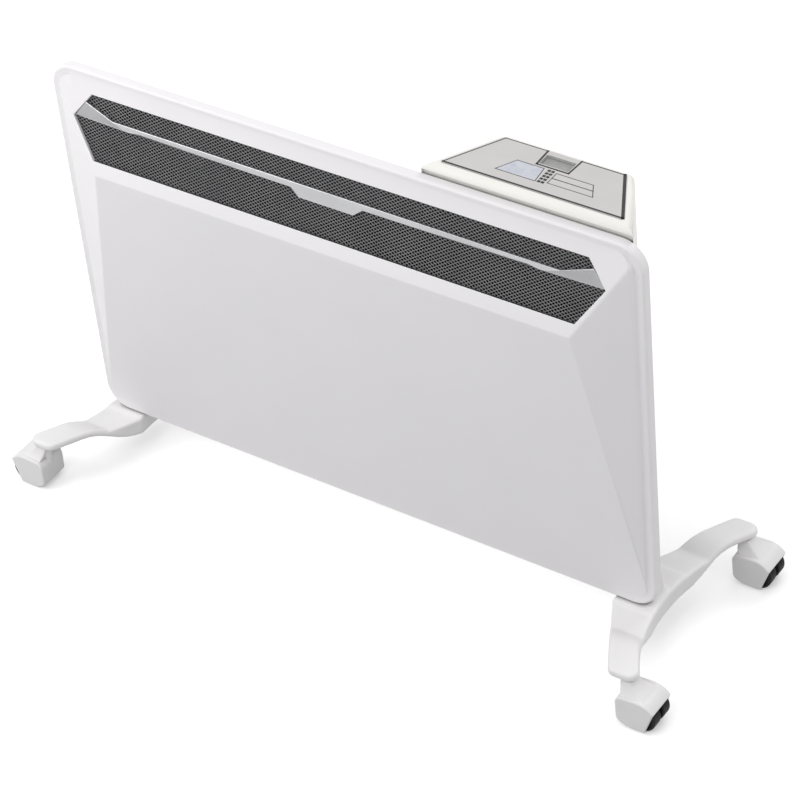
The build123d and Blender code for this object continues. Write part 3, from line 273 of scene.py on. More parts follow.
def edge_mask(tree, width, strength):
    """Bright where the surface turns sharply, broken up by a noise."""
    rounded = add_node(tree, "ShaderNodeBevel", Radius=width)
    rounded.samples = 4
    flat = tree.nodes.new("ShaderNodeNewGeometry")
    cosine = tree.nodes.new("ShaderNodeVectorMath")
    cosine.operation = "DOT_PRODUCT"
    tree.links.new(rounded.outputs["Normal"], cosine.inputs[0])
    tree.links.new(flat.outputs["Normal"], cosine.inputs[1])
    sharp = ramp(tree, cosine.outputs["Value"], 1.0, EDGE_TURN, 0.0, strength)
    patches = ramp(tree, noise(tree, EDGE_PATCH), *EDGE_SPREAD, EDGE_LEAST, 1.0)
    return product(tree, sharp, patches)


def compared(tree, value, operation, *amounts):
    """1 where the value passes the test, and 0 elsewhere."""
    test = tree.nodes.new("ShaderNodeMath")
    test.operation = operation
    tree.links.new(value, test.inputs[0])
    for socket, amount in zip(test.inputs[1:], amounts):
        socket.default_value = amount
    return test.outputs["Value"]


def inner_side(tree, turned, half_width, low, high):
    """1 on walls turned to the front (turned -1) or back (1), between two sides and heights."""
    normal = tree.nodes.new("ShaderNodeSeparateXYZ")
    tree.links.new(tree.nodes.new("ShaderNodeNewGeometry").outputs["True Normal"], normal.inputs[0])
    place = tree.nodes.new("ShaderNodeSeparateXYZ")
    tree.links.new(tree.nodes.new("ShaderNodeTexCoord").outputs["Object"], place.inputs[0])
    side = "GREATER_THAN" if turned > 0 else "LESS_THAN"
    to_side = compared(tree, normal.outputs["Y"], side, turned * TURNED_TO_SIDE)
    across = compared(tree, place.outputs["X"], "COMPARE", 0, half_width)
    upright = compared(tree, place.outputs["Z"], "COMPARE", (low + high) / 2, (high - low) / 2)
    return product(tree, product(tree, to_side, across), upright)


def painted_shade_mask(tree, strength):
    """Mask of painted shade, high in gaps and grooves where shadow falls, found by ambient
    occlusion.
    """
    openness = add_node(tree, "ShaderNodeAmbientOcclusion", Distance=PAINTED_SHADE_REACH)
    openness.samples = 6
    return ramp(tree, openness.outputs["AO"], *PAINTED_SHADE_OPENNESS, strength, 0.0)


def finish(name, colour, shade, patch, rough, grain, depth, edge, rubbing, edge_width=0.5 * MM,
           metallic=0.0, specular=0.5, stretch=(1, 1, 1), alpha=1.0, painted_crevice_shade=0.0, inside=None):
    """Finish with slow colour patches, uneven gloss, a fine grain in relief, rubbed edges and
    painted shade.

    The colour goes from colour to shade in patches of size patch, and to edge on rubbed edges,
    by at most the amount rubbing. The roughness lies between the two of rough. The relief has
    grains of size grain and of height depth. The last two arguments set the painted shade: its
    strength in gaps, and inner_side's range of it on the inner sides.
    """
    material = bpy.data.materials.new(name)
    material.use_nodes = True
    tree = material.node_tree
    shader = tree.nodes["Principled BSDF"]
    shader.inputs["Metallic"].default_value = metallic
    shader.inputs["Alpha"].default_value = alpha
    shader.inputs["Specular IOR Level"].default_value = specular
    patches = ramp(tree, noise(tree, patch, 3.0), *PATCH_SPREAD, 0.0, 1.0)
    body = blend_colours(tree, patches, colour, shade)
    body = blend_colours(tree, edge_mask(tree, edge_width, rubbing), body, edge)
    # painted shade: darkens gaps and grooves, where shadow falls
    if painted_crevice_shade:
        body = blend_colours(tree, painted_shade_mask(tree, painted_crevice_shade), body, PAINTED_SHADE_GREY)
    # painted shade: darkens the inner sides, which look dark only because little light gets in
    if inside:
        body = blend_colours(tree, inner_side(tree, *inside), body, PAINTED_INSIDE_SHADE)
    tree.links.new(body, shader.inputs["Base Color"])
    gloss = ramp(tree, noise(tree, patch / 3, 3.0, stretch), *PATCH_SPREAD, *rough)
    tree.links.new(gloss, shader.inputs["Roughness"])
    relief = add_node(tree, "ShaderNodeBump", Strength=1.0, Distance=depth)
    tree.links.new(noise(tree, grain, 2.0, stretch), relief.inputs["Height"])
    tree.links.new(relief.outputs["Normal"], shader.inputs["Normal"])
    return material


# The entries for gaps and for inner sides are painted shade, not the finishes' own colour.
FINISHES = {
    "white_paint": dict(
        colour=(0.85, 0.835, 0.85), shade=(0.83, 0.815, 0.832), patch=90 * MM,
        rough=(0.34, 0.42), grain=1.6 * MM, depth=0.006 * MM, edge=(0.9, 0.9, 0.9), rubbing=0.4,
        inside=(1, 300 * MM, 64 * MM, 449 * MM), painted_crevice_shade=0.7),
    "mesh_charcoal": dict(
        colour=(0.20, 0.20, 0.205), shade=(0.155, 0.155, 0.16), patch=25 * MM, rough=(0.36, 0.5),
        grain=0.8 * MM, depth=0.01 * MM, edge=(0.32, 0.32, 0.33), rubbing=0.5,
        edge_width=0.15 * MM),
    "bar_silver": dict(
        colour=(0.50, 0.50, 0.51), shade=(0.45, 0.45, 0.46), patch=40 * MM, rough=(0.26, 0.36),
        grain=0.5 * MM, depth=0.003 * MM, edge=(0.85, 0.85, 0.86), rubbing=0.6, metallic=0.85,
        stretch=ALONG_BAR),
    "housing_white": dict(
        colour=(0.83, 0.825, 0.83), shade=(0.80, 0.795, 0.80), patch=70 * MM, rough=(0.42, 0.52),
        grain=1.2 * MM, depth=0.012 * MM, edge=(0.74, 0.74, 0.74), rubbing=0.4,
        inside=(-1, 400 * MM, 0, 500 * MM)),
    "zinc_screws": dict(
        colour=(0.62, 0.62, 0.64), shade=(0.48, 0.49, 0.52), patch=2 * MM, rough=(0.25, 0.45),
        grain=0.4 * MM, depth=0.006 * MM, edge=(0.8, 0.8, 0.82), rubbing=0.7, metallic=1.0),
    "element_aluminium": dict(
        colour=(0.70, 0.70, 0.71), shade=(0.58, 0.57, 0.56), patch=30 * MM, rough=(0.3, 0.5),
        grain=0.7 * MM, depth=0.01 * MM, edge=(0.82, 0.82, 0.82), rubbing=0.5, metallic=1.0,
        stretch=ALONG_BAR),
    "rod_steel": dict(
        colour=(0.50, 0.49, 0.48), shade=(0.36, 0.31, 0.26), patch=25 * MM, rough=(0.3, 0.5),
        grain=0.8 * MM, depth=0.006 * MM, edge=(0.7, 0.7, 0.7), rubbing=0.4, metallic=1.0),
    "ceramic": dict(
        colour=(0.85, 0.83, 0.78), shade=(0.78, 0.75, 0.69), patch=6 * MM, rough=(0.55, 0.75),
        grain=0.6 * MM, depth=0.02 * MM, edge=(0.66, 0.62, 0.56), rubbing=0.5),
    "bracket_steel": dict(
        colour=(0.60, 0.60, 0.61), shade=(0.48, 0.49, 0.51), patch=8 * MM, rough=(0.3, 0.5),
        grain=2.5 * MM, depth=0.01 * MM, edge=(0.76, 0.76, 0.78), rubbing=0.6, metallic=1.0),
    "black_plastic": dict(
        colour=(0.028, 0.028, 0.03), shade=(0.04, 0.04, 0.042), patch=12 * MM, rough=(0.4, 0.55),
        grain=0.6 * MM, depth=0.015 * MM, edge=(0.09, 0.09, 0.09), rubbing=0.5),
    "unit_cream": dict(
        colour=(0.87, 0.86, 0.825), shade=(0.85, 0.84, 0.80), patch=60 * MM, rough=(0.38, 0.5),
        grain=0.9 * MM, depth=0.01 * MM, edge=(0.92, 0.91, 0.88), rubbing=0.4,
        inside=(-1, 400 * MM, 0, 460 * MM), painted_crevice_shade=0.8),
    "label_grey": dict(
        colour=(0.60, 0.59, 0.58), shade=(0.57, 0.56, 0.55), patch=30 * MM, rough=(0.4, 0.5),
        grain=0.5 * MM, depth=0.004 * MM, edge=(0.7, 0.69, 0.68), rubbing=0.3),
    "window_glass": dict(
        colour=(0.75, 0.76, 0.75), shade=(0.70, 0.72, 0.70), patch=12 * MM, rough=(0.08, 0.16),
        grain=1.5 * MM, depth=0.002 * MM, edge=(0.85, 0.86, 0.85), rubbing=0.5, alpha=0.15),
    "display_dark": dict(
        colour=(0.25, 0.27, 0.25), shade=(0.21, 0.23, 0.21), patch=9 * MM, rough=(0.3, 0.45),
        grain=0.5 * MM, depth=0.004 * MM, edge=(0.4, 0.42, 0.4), rubbing=0.4),
    "board_green": dict(
        colour=(0.05, 0.22, 0.10), shade=(0.03, 0.15, 0.06), patch=4 * MM, rough=(0.3, 0.5),
        grain=0.9 * MM, depth=0.02 * MM, edge=(0.45, 0.42, 0.22), rubbing=0.5),
    "foot_white": dict(
        colour=(0.84, 0.83, 0.83), shade=(0.82, 0.81, 0.81), patch=50 * MM, rough=(0.38, 0.5),
        grain=0.9 * MM, depth=0.012 * MM, edge=(0.88, 0.88, 0.88), rubbing=0.4, painted_crevice_shade=0.7),
    "hood_white": dict(
        colour=(0.82, 0.81, 0.81), shade=(0.79, 0.78, 0.78), patch=25 * MM, rough=(0.38, 0.5),
        grain=0.8 * MM, depth=0.012 * MM, edge=(0.88, 0.87, 0.87), rubbing=0.4, painted_crevice_shade=0.6),
    "pin_steel": dict(
        colour=(0.60, 0.60, 0.61), shade=(0.46, 0.46, 0.47), patch=5 * MM, rough=(0.2, 0.35),
        grain=0.7 * MM, depth=0.004 * MM, edge=(0.78, 0.78, 0.8), rubbing=0.5, metallic=1.0),
    "wheel_black": dict(
        colour=(0.010, 0.010, 0.011), shade=(0.020, 0.019, 0.019), patch=10 * MM,
        rough=(0.42, 0.62), grain=0.8 * MM, depth=0.02 * MM, edge=(0.05, 0.05, 0.05),
        rubbing=0.5, specular=0.12),
    # darker copy of bar_silver: painted shade on the flared ends' sloping faces
    "flare_silver_painted_shade": dict(
        colour=(0.34, 0.34, 0.35), shade=(0.29, 0.29, 0.30), patch=40 * MM, rough=(0.26, 0.36),
        grain=0.5 * MM, depth=0.003 * MM, edge=(0.8, 0.8, 0.81), rubbing=0.6, metallic=0.85,
        stretch=ALONG_BAR),
    "picture_blue": dict(
        colour=(0.50, 0.53, 0.60), shade=(0.62, 0.63, 0.68), patch=7 * MM, rough=(0.4, 0.5),
        grain=0.5 * MM, depth=0.003 * MM, edge=(0.6, 0.62, 0.68), rubbing=0.3),
    "crystal_grey": dict(
        colour=(0.33, 0.34, 0.32), shade=(0.28, 0.29, 0.27), patch=6 * MM, rough=(0.25, 0.35),
        grain=0.5 * MM, depth=0.003 * MM, edge=(0.4, 0.41, 0.4), rubbing=0.3),
}

finishes = {name: finish(name, **look) for name, look in FINISHES.items()}


def dress_nodes():
    """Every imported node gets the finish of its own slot."""
    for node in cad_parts.values():
        for place in node.material_slots:
            place.material = finishes[place.material.name.split(".")[0]]


dress_nodes()


# ---------------------------------------------------------------- air outlet

SHEET_DEPTH = 3 * MM               # sheet behind the facet
WEAVE_WIDTH = 5.2 * MM             # one diamond of the sheet
WEAVE_HEIGHT = 3.35 * MM
WEAVE_THREAD = 0.66 * MM
WEAVE_DISH = 0.14 * MM             # how far a diamond's rim slopes inwards
WEAVE_WALL = 0.3 * MM              # and how deep its wall goes down from there
WEAVE_MARGIN = 1.6                 # weave beyond the outlet, in mm
WEAVE_JOIN = 0.02 * MM             # corners of neighbouring diamonds this near are joined
ON_EDGE = 0.05 * MM                # corners this near to the outlet's edge are on it
LIP_BEVEL = 0.6 * MM
BAR_BEVEL = 0.6 * MM
BAR_FOOT_BEVEL = 1.7 * MM          # the bar's lower edge is the rounder one
BAR_SHARP = 25                     # turn of its sharp edges, in degrees, at the least
BAR_FACE = 2.5 * MM                # the face that it shows lies within this of the facet
BAR_RUN = 100 * MM                 # its straight runs are longer than this
LEVEL_WITHIN = 0.8 * MM            # and lie this near to the bar's line
FLARE_FROM = 256 * MM              # its flared ends begin this far from the middle
FLARE_AREA = 60 * MM * MM          # and their faces are larger than this


def outlet_sides(margin):
    """The outlet's six sides as a point on each and its outward direction, margin outside it."""
    right = [Vector((x, y, 0)) for x, y in OUTLET]
    left = [Vector((-x, y, 0)) for x, y in reversed(OUTLET)]
    corners = right + left
    for start, end in zip(corners, corners[1:] + corners[:1]):
        along = (end - start).normalized()
        outwards = Vector((along.y, -along.x, 0))
        yield (start + outwards * margin) * MM, outwards


def woven_outlet():
    """Fine diamond sheet: one cell shaped by hand, repeated, and cut to the outlet's shape."""
    piece = new_piece("woven_outlet", bpy.ops.mesh.primitive_circle_add,
                      vertices=4, radius=WEAVE_WIDTH / 2, fill_type="NGON")
    top, half_width = OUTLET[2][1] * MM, OUTLET[1][0] * MM
    rows = int(top / WEAVE_HEIGHT) + 3
    columns = int(2 * half_width / WEAVE_WIDTH) + 5
    with edited(piece):
        bpy.ops.mesh.select_all(action="SELECT")
        bpy.ops.transform.resize(value=(1, WEAVE_HEIGHT / WEAVE_WIDTH, 1))
        bpy.ops.mesh.inset(thickness=WEAVE_THREAD / 2, depth=-WEAVE_DISH)
        bpy.ops.mesh.extrude_region_move(TRANSFORM_OT_translate={"value": (0, 0, -WEAVE_WALL)})
        bpy.ops.mesh.delete(type="FACE")
        bpy.ops.mesh.select_all(action="SELECT")
        bpy.ops.transform.translate(value=(-columns / 2 * WEAVE_WIDTH, -WEAVE_HEIGHT / 2, 0))
    half_step = (WEAVE_WIDTH / 2, WEAVE_HEIGHT / 2, 0)
    steps = (((WEAVE_WIDTH, 0, 0), columns), (half_step, 2), ((0, WEAVE_HEIGHT, 0), rows))
    for step, count in steps:
        finish_with(piece, "ARRAY", use_relative_offset=False, use_constant_offset=True,
                    constant_offset_displace=step, count=count)
    with edited(piece):
        bpy.ops.mesh.select_all(action="SELECT")
        bpy.ops.mesh.remove_doubles(threshold=WEAVE_JOIN)
        for place, outwards in outlet_sides(WEAVE_MARGIN):
            bpy.ops.mesh.select_all(action="SELECT")
            bpy.ops.mesh.bisect(plane_co=place, plane_no=outwards, clear_outer=True)
    smooth(piece, 50)
    lay_on_facet(piece, SHEET_DEPTH)
    dress(piece, "heater", "mesh_charcoal", "outlet_mesh")


def facet_place(point):
    """A point's place on the upper facet: along the ridge, up the slope and out of its face."""
    offset = point - RIDGE
    return Vector((offset.x, offset.dot(FACET_UP), offset.dot(FACET_OUT)))


def on_outlet_edge(point):
    """Whether the point is on the edge where the outlet's lip turns in."""
    place = facet_place(point)
    flat = Vector((place.x, place.y, 0))
    outside = max((flat - corner).dot(outwards) for corner, outwards in outlet_sides(0))
    return abs(place.z) < ON_EDGE and abs(outside) < ON_EDGE


def is_bar_edge(edge):
    """Sharp edge on the face that the bar shows."""
    return (len(edge.link_faces) == 2 and edge.calc_face_angle() > radians(BAR_SHARP)
            and all(facet_place(v.co).z > -BAR_FACE for v in edge.verts))


def is_bar_foot(edge):
    """Lower edge of the bar's straight runs, on both sides of the tab."""
    places = [facet_place(v.co) for v in edge.verts]
    level = all(abs(place.y - BAR_LINE) < LEVEL_WITHIN for place in places)
    return level and abs(places[0].x - places[1].x) > BAR_RUN


def is_flare(face):
    """Sloping face of one of the bar's flared ends."""
    at_end = abs(face.calc_center_median().x) > FLARE_FROM
    return at_end and face.calc_area() > FLARE_AREA and face.normal.y < -0.3


def silver_bar():
    """The bar with its edges broken, so that they catch the light."""
    piece = copy_of_node("silver_bar", "outlet_bar")
    with edited(piece):
        pick(piece, "edges", lambda e: is_bar_edge(e) and not is_bar_foot(e))
        bpy.ops.mesh.bevel(offset=BAR_BEVEL, segments=2, affect="EDGES")
        pick(piece, "edges", lambda e: is_bar_edge(e) and is_bar_foot(e))
        bpy.ops.mesh.bevel(offset=BAR_FOOT_BEVEL, segments=2, affect="EDGES")
    smooth(piece, 20)
    finish_with(piece, "WEIGHTED_NORMAL", keep_sharp=True)
    dress(piece, "heater", "bar_silver", "outlet_bar")
    # the flared ends' faces get a darker copy of the silver: painted shade
    piece.data.materials.append(finishes["flare_silver_painted_shade"])
    with edited(piece):
        pick(piece, "faces", is_flare)
        piece.active_material_index = 1
        bpy.ops.object.material_slot_assign()


def pressed_panel():
    """The front panel with the outlet's edge turned in softly."""
    piece = copy_of_node("pressed_panel", "front_panel")
    with edited(piece):
        pick(piece, "edges", lambda e: all(on_outlet_edge(v.co) for v in e.verts))
        bpy.ops.mesh.bevel(offset=LIP_BEVEL, segments=3, affect="EDGES")
    smooth(piece, 35)
    finish_with(piece, "WEIGHTED_NORMAL", keep_sharp=True)
    dress(piece, "heater", "white_paint", "front_panel")


woven_outlet()
silver_bar()
pressed_panel()


# ---------------------------------------------------------------- control unit's casing

GROOVE_LOW = 458.0 * MM
GROOVE_HIGH = 467.4 * MM
GROOVE_DEPTH = 1.9 * MM
GROOVE_SLOPE = 0.8 * MM            # width of its sloping sides
ON_FRONT = 0.3 * MM                # faces this near to the casing's front are part of it


def unit_shell():
    """The unit's casing with a groove pressed in above the panel's edge, across its front."""
    piece = copy_of_node("unit_shell", "unit_casing")
    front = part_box("unit_casing")[0].y
    with edited(piece):
        for height in (GROOVE_LOW, GROOVE_HIGH):
            bpy.ops.mesh.select_all(action="SELECT")
            bpy.ops.mesh.bisect(plane_co=(0, 0, height), plane_no=(0, 0, 1))
        pick(piece, "faces", lambda f: f.normal.y < -0.9
             and abs(f.calc_center_median().y - front) < ON_FRONT
             and GROOVE_LOW < f.calc_center_median().z < GROOVE_HIGH)
        bpy.ops.mesh.inset(thickness=GROOVE_SLOPE, depth=-GROOVE_DEPTH)
    smooth(piece, 35)
    finish_with(piece, "WEIGHTED_NORMAL", keep_sharp=True)
    dress(piece, "heater", "unit_cream", "unit_casing")


unit_shell()


# ---------------------------------------------------------------- feet

FOOT_GRAIN = 1.4 * MM              # mesh width of the softened feet
FOOT_SOFTENING = 16                # rounds of softening
RAMP_TOP = 48.2 * MM
# Inner and outer edge, distance from the foot's middle and underside, in mm.
RAMP_STATIONS = (
    (275.5, 319.8, 29.0, 34.0),
    (281.6, 322.2, 42.0, 38.0),
    (287.7, 325.0, 53.0, 42.5),
    (292.6, 327.9, 62.0, 42.5),
)


def foot_ramps(side):
    """Blocks that level the dips between the saddle and both arms; side is 1 or -1."""
    blocks = []
    for end in (-1, 1):
        for station, further in zip(RAMP_STATIONS, RAMP_STATIONS[1:]):
            inner, outer, near, underside = station
            far_inner, far_outer, far = further[:3]
            corners = ((side * inner, end * near), (side * outer, end * near),
                       (side * far_outer, end * far), (side * far_inner, end * far))
            blocks.append(plate("foot_ramp", corners, underside * MM, RAMP_TOP))
    return blocks


def moulded_foot(name, node, side):
    """A foot with the soft edges and flowing corners of a moulding."""
    piece = joined(name, [copy_of_node(name, node), *foot_ramps(side)])
    finish_with(piece, "REMESH", mode="VOXEL", voxel_size=FOOT_GRAIN)
    finish_with(piece, "SMOOTH", factor=0.5, iterations=FOOT_SOFTENING)
    smooth(piece, 60)
    dress(piece, "heater", "foot_white", node)


moulded_foot("moulded_foot_right", "foot_right", 1)
moulded_foot("moulded_foot_left", "foot_left", -1)


# ---------------------------------------------------------------- casters

SADDLE_GRAIN = 1.1 * MM            # mesh width of the softened slopes
SADDLE_SOFTENING = 8
STEM_BORE = 3.2 * MM               # room for the stem, which stays with the foot
# Height, reach in front of and behind the swivel's axis and half width, in mm.
SADDLE_RINGS = (
    (33.9, -1.0, 27.0, 14.5),
    (36.6, -2.0, 21.5, 12.0),
    (39.8, -3.0, 15.5, 9.5),
    (43.8, -4.0, 10.5, 7.3),
    (48.0, -4.5, 7.2, 6.0),
)


def hood_saddle(corner):
    """Slope that carries a caster's hood up into its neck, on the side of the wheels."""
    low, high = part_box("caster_stem_" + corner)
    axis = (low + high) / 2
    trail = 1 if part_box("caster_axle_" + corner)[0].x > axis.x else -1
    height, front, back, half = SADDLE_RINGS[0]
    piece = new_piece("hood_saddle_" + corner, bpy.ops.mesh.primitive_plane_add, size=2 * MM,
                      location=(axis.x + trail * (front + back) / 2 * MM, axis.y, height * MM))
    settle(piece)
    with edited(piece):
        bpy.ops.mesh.select_all(action="SELECT")
        bpy.ops.transform.resize(value=((back - front) / 2, half, 1))
        for next_height, next_front, next_back, next_half in SADDLE_RINGS[1:]:
            along = trail * (next_front + next_back - front - back) / 2 * MM
            rise = (next_height - height) * MM
            bpy.ops.mesh.extrude_region_move(TRANSFORM_OT_translate={"value": (along, 0, rise)})
            length = (next_back - next_front) / (back - front)
            bpy.ops.transform.resize(value=(length, next_half / half, 1))
            height, front, back, half = next_height, next_front, next_back, next_half
        bpy.ops.mesh.select_all(action="SELECT")
        bpy.ops.mesh.normals_make_consistent(inside=False)
    finish_with(piece, "REMESH", mode="VOXEL", voxel_size=SADDLE_GRAIN)
    finish_with(piece, "SMOOTH", factor=0.5, iterations=SADDLE_SOFTENING)
    cutter = new_piece("stem_cutter", bpy.ops.mesh.primitive_cylinder_add, vertices=48,
                       radius=STEM_BORE, depth=high.z, location=axis)
    cut_with(piece, cutter)
    smooth(piece, 60)
    dress(piece, "caster_" + corner, "hood_white")


for corner in ("front_left", "front_right", "rear_left", "rear_right"):
    hood_saddle(corner)


# ---------------------------------------------------------------- control label and display

# Places on the label are in mm, in the heater's own frame, seen from above.
UNIT_TOP = 473.0 * MM
LABEL_TOP = 473.2 * MM
PRINT_FOOT = LABEL_TOP - 0.05 * MM
PRINT_TOP = LABEL_TOP + 0.03 * MM
FIELD_TOP = LABEL_TOP + 0.01 * MM
SHEET = ((104.4, -5.0), (291.6, -5.0), (260.4, 52.2), (135.6, 52.2))
SHEET_CORNER = 2 * MM
BORDER = ((107.0, -3.4), (288.6, -3.4), (258.4, 51.4), (137.4, 51.4))
DISPLAY_MARK = ((180.8, 51.4), (181.8, 30.6), (214.2, 30.6), (215.2, 51.4))
PICTURE = ((153.5, 8.2), (194.0, 8.2), (191.5, 27.6), (164.0, 27.6))
TABLE = ((205.0, 10.5), (250.5, 10.5), (242.0, 26.0), (205.0, 26.0))
FINE_LINE = 0.8
TABLE_MIDDLE_LINE = 1.0
SQUARE = (3.2, 3.0)                # width and depth of one square
SQUARE_COLUMNS = (197.2, 201.0)
SQUARE_ROWS = 5
FIRST_ROW = 9.4
ROW_PITCH = 4.3
BEZEL = ((183.6, 33.0), (212.4, 46.0))
BEZEL_WIDTH = 2.4 * MM
BEZEL_HEIGHT = 0.5 * MM
PANE = ((186.1, 35.5), (209.9, 43.5))
PANE_HEIGHT = 0.3 * MM


def rectangle(low, high):
    """Corners of the rectangle between two opposite ones."""
    return ((low[0], low[1]), (high[0], low[1]), (high[0], high[1]), (low[0], high[1]))


def stroke(start, end, width):
    """Printed line between two places in mm."""
    start, end = Vector(start), Vector(end)
    along = (end - start).normalized() * width / 2
    across = Vector((-along.y, along.x))
    corners = (start - along - across, end + along - across,
               end + along + across, start - along + across)
    return plate("stroke", corners, PRINT_FOOT, PRINT_TOP)


def strokes(name, lines):
    """One printed black piece of lines, each given by its start, end and width."""
    pieces = [stroke(start, end, width) for start, end, width in lines]
    dress(joined(name, pieces), "heater", "black_plastic")


def outline_of(corners, width):
    """Lines of one width from corner to corner, all round."""
    return [(start, end, width) for start, end in zip(corners, corners[1:] + corners[:1])]


def label_sheet():
    """Grey film on the unit's top, with the display's window cut out of it."""
    sheet = plate("label_sheet", SHEET, UNIT_TOP, LABEL_TOP)
    with edited(sheet):
        pick(sheet, "edges", lambda e: abs(e.verts[0].co.z - e.verts[1].co.z) > 0.1 * MM)
        bpy.ops.mesh.bevel(offset=SHEET_CORNER, segments=5, affect="EDGES")
    low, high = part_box("display_window")
    window = rectangle(low / MM, high / MM)
    cut_with(sheet, plate("window_cutter", window, UNIT_TOP - 2 * MM, UNIT_TOP + 2 * MM))
    dress(sheet, "heater", "label_grey", "control_label")


def label_border():
    """Heavy line round the label that dips round the display."""
    front_left, front_right, back_right, back_left = BORDER
    mark_left, mark_front_left, mark_front_right, mark_right = DISPLAY_MARK
    strokes("label_border", (
        (front_left, front_right, 2.1), (front_right, back_right, 3.0),
        (front_left, back_left, 1.2), (back_left, mark_left, 1.0),
        (mark_right, back_right, 1.2), (mark_left, mark_front_left, 2.0),
        (mark_front_left, mark_front_right, 1.8), (mark_front_right, mark_right, 1.8)))


def label_table():
    """Plain two-row table."""
    front_left, front_right, back_right, back_left = TABLE
    middle_y = (front_left[1] + back_left[1]) / 2
    middle = ((front_left[0], middle_y), ((front_right[0] + back_right[0]) / 2, middle_y))
    strokes("label_table", outline_of(TABLE, FINE_LINE) + [(*middle, TABLE_MIDDLE_LINE)])


def label_squares():
    """Column of small paired squares beside the table."""
    half_width, half_depth = SQUARE[0] / 2, SQUARE[1] / 2
    pieces = []
    for row in range(SQUARE_ROWS):
        for x in SQUARE_COLUMNS:
            y = FIRST_ROW + ROW_PITCH * row
            corners = rectangle((x - half_width, y - half_depth), (x + half_width, y + half_depth))
            pieces.append(plate("square", corners, PRINT_FOOT, PRINT_TOP))
    dress(joined("label_squares", pieces), "heater", "black_plastic")


def label_picture():
    """Plain bluish field with a thin outline."""
    field = plate("label_picture", PICTURE, PRINT_FOOT, FIELD_TOP)
    dress(field, "heater", "label_grey")
    field.data.materials[0] = finishes["picture_blue"]
    strokes("label_picture_outline", outline_of(PICTURE, FINE_LINE))


def display_parts():
    """Pale bezel and grey liquid-crystal pane under the window."""
    module_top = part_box("display_module")[1].z
    bezel = plate("display_bezel", rectangle(*BEZEL), module_top, module_top + BEZEL_HEIGHT)
    with edited(bezel):
        pick(bezel, "faces", lambda f: abs(f.normal.z) > 0.9)
        bpy.ops.mesh.inset(thickness=BEZEL_WIDTH)
        bpy.ops.mesh.bridge_edge_loops()
    dress(bezel, "heater", "unit_cream")
    pane = plate("display_pane", rectangle(*PANE), module_top, module_top + PANE_HEIGHT)
    dress(pane, "heater", "display_dark")
    pane.data.materials[0] = finishes["crystal_grey"]


label_sheet()
label_border()
label_table()
label_squares()
label_picture()
display_parts()


# ---------------------------------------------------------------- camera, light and floor

CAMERA_PLACE = Vector((1.4353, -1.8244, 2.0509))
CAMERA_TURN = radians(37.60)       # round the vertical, to the left
CAMERA_TILT = radians(50.77)       # up from looking straight down
CAMERA_ROLL = radians(-5.95)
CAMERA_LENS = 141.94
SENSOR_WIDTH = 36.0
FLOOR_SIZE = 12.0
FLOOR_SEEN = 0.9                   # floor's grey for the camera
FLOOR_BOUNCE = 0.35                # and for the light that it throws back
FLOOR_GLOW = 0.3                   # its glow under the heater, which rises to 1
GLOW_NEAR = 0.8                    # between these distances from the middle
GLOW_FAR = 2.4
WORLD_LIGHT = 0.6
SOFTBOXES = (                      # name, place, size, power
    ("near_left_softbox", (-1.0, -0.9, 1.1), 0.8, 7.0),
    ("near_top_softbox", (-0.7, -0.4, 1.4), 0.8, 1.6),
    ("right_softbox", (2.4, 0.2, 1.0), 1.2, 7.6),
    ("back_softbox", (0.4, 2.0, 2.0), 1.6, 17.6),
    ("front_softbox", (0.2, -2.2, 2.4), 1.4, 19.0),
)


def add_camera():
    camera = bpy.data.objects.new("photo_camera", bpy.data.cameras.new("photo_camera"))
    bpy.context.scene.collection.objects.link(camera)
    camera.data.lens = CAMERA_LENS
    camera.data.sensor_width = SENSOR_WIDTH
    turn = Matrix.Rotation(CAMERA_TURN, 4, "Z") @ Matrix.Rotation(CAMERA_TILT, 4, "X")
    roll = Matrix.Rotation(CAMERA_ROLL, 4, "Z")
    camera.matrix_world = Matrix.Translation(CAMERA_PLACE) @ turn @ roll
    bpy.context.scene.camera = camera


def add_softbox(name, place, size, power):
    """Square lamp at place that faces the heater's middle."""
    lamp = bpy.data.lights.new(name, "AREA")
    lamp.size = size
    lamp.energy = power
    holder = bpy.data.objects.new(name, lamp)
    bpy.context.scene.collection.objects.link(holder)
    holder.location = place
    towards = (cad_box[0] + cad_box[1]) / 2 - Vector(place)
    holder.rotation_euler = towards.to_track_quat("-Z", "Y").to_euler()


def seen_directly(tree):
    """1 for what the camera sees, straight or in a reflection or through glass."""
    paths = tree.nodes.new("ShaderNodeLightPath")
    seen = paths.outputs["Is Camera Ray"]
    for name in ("Is Glossy Ray", "Is Transmission Ray"):
        higher = tree.nodes.new("ShaderNodeMath")
        higher.operation = "MAXIMUM"
        tree.links.new(seen, higher.inputs[0])
        tree.links.new(paths.outputs[name], higher.inputs[1])
        seen = higher.outputs["Value"]
    return seen


def matt(tree, grey):
    """Plain diffuse surface."""
    shader = tree.nodes.new("ShaderNodeBsdfDiffuse")
    shader.inputs["Color"].default_value = (grey, grey, grey, 1)
    return shader.outputs[0]


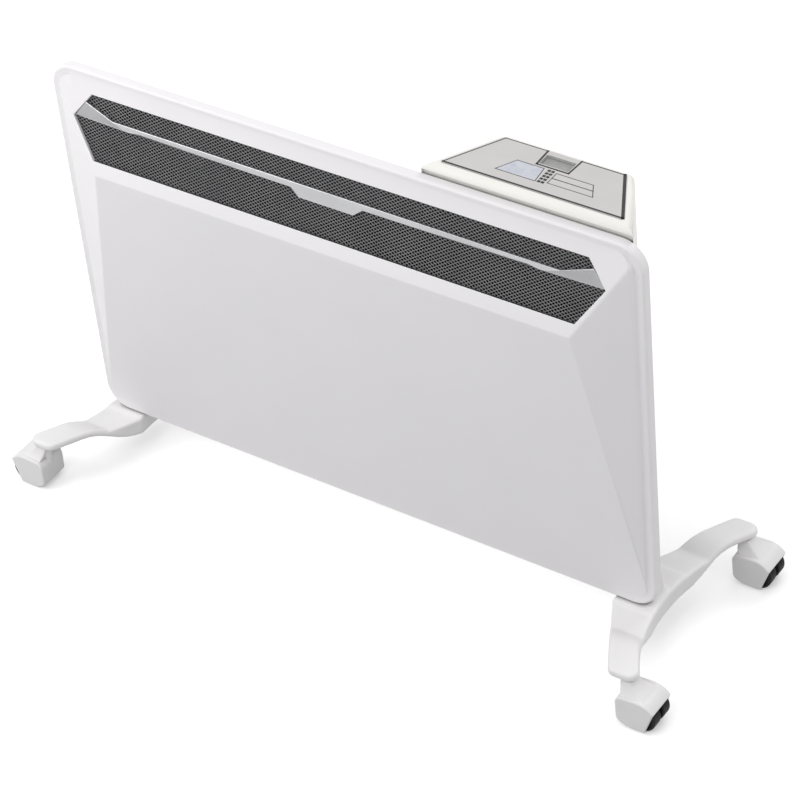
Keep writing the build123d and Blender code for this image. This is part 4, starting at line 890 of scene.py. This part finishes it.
def add_floor():
    """Floor that looks white to the camera, keeps the shadow and throws little light back."""
    floor = new_piece("studio_floor", bpy.ops.mesh.primitive_plane_add, size=FLOOR_SIZE)
    paint = bpy.data.materials.new("floor_white")
    paint.use_nodes = True
    tree = paint.node_tree
    distance = tree.nodes.new("ShaderNodeVectorMath")
    distance.operation = "LENGTH"
    tree.links.new(tree.nodes.new("ShaderNodeTexCoord").outputs["Object"], distance.inputs[0])
    glow = tree.nodes.new("ShaderNodeEmission")
    rise = ramp(tree, distance.outputs["Value"], GLOW_NEAR, GLOW_FAR, FLOOR_GLOW, 1.0)
    tree.links.new(rise, glow.inputs["Strength"])
    white = tree.nodes.new("ShaderNodeAddShader")
    tree.links.new(matt(tree, FLOOR_SEEN), white.inputs[0])
    tree.links.new(glow.outputs[0], white.inputs[1])
    choice = tree.nodes.new("ShaderNodeMixShader")
    tree.links.new(seen_directly(tree), choice.inputs[0])
    tree.links.new(matt(tree, FLOOR_BOUNCE), choice.inputs[1])
    tree.links.new(white.outputs[0], choice.inputs[2])
    tree.links.new(choice.outputs[0], tree.nodes["Material Output"].inputs["Surface"])
    floor.data.materials.append(paint)


def light_studio():
    """White surroundings and the softboxes."""
    world = bpy.data.worlds.new("studio")
    bpy.context.scene.world = world
    world.use_nodes = True
    tree = world.node_tree
    light = tree.nodes["Background"]
    light.inputs["Color"].default_value = (1, 1, 1, 1)
    light.inputs["Strength"].default_value = WORLD_LIGHT
    white = add_node(tree, "ShaderNodeBackground", Color=(1, 1, 1, 1), Strength=1.0)
    choice = tree.nodes.new("ShaderNodeMixShader")
    tree.links.new(tree.nodes.new("ShaderNodeLightPath").outputs["Is Camera Ray"], choice.inputs[0])
    tree.links.new(light.outputs[0], choice.inputs[1])
    tree.links.new(white.outputs[0], choice.inputs[2])
    tree.links.new(choice.outputs[0], tree.nodes["World Output"].inputs["Surface"])
    for name, place, size, power in SOFTBOXES:
        add_softbox(name, place, size, power)


bpy.context.scene.view_settings.view_transform = "Standard"
add_camera()
add_floor()
light_studio()
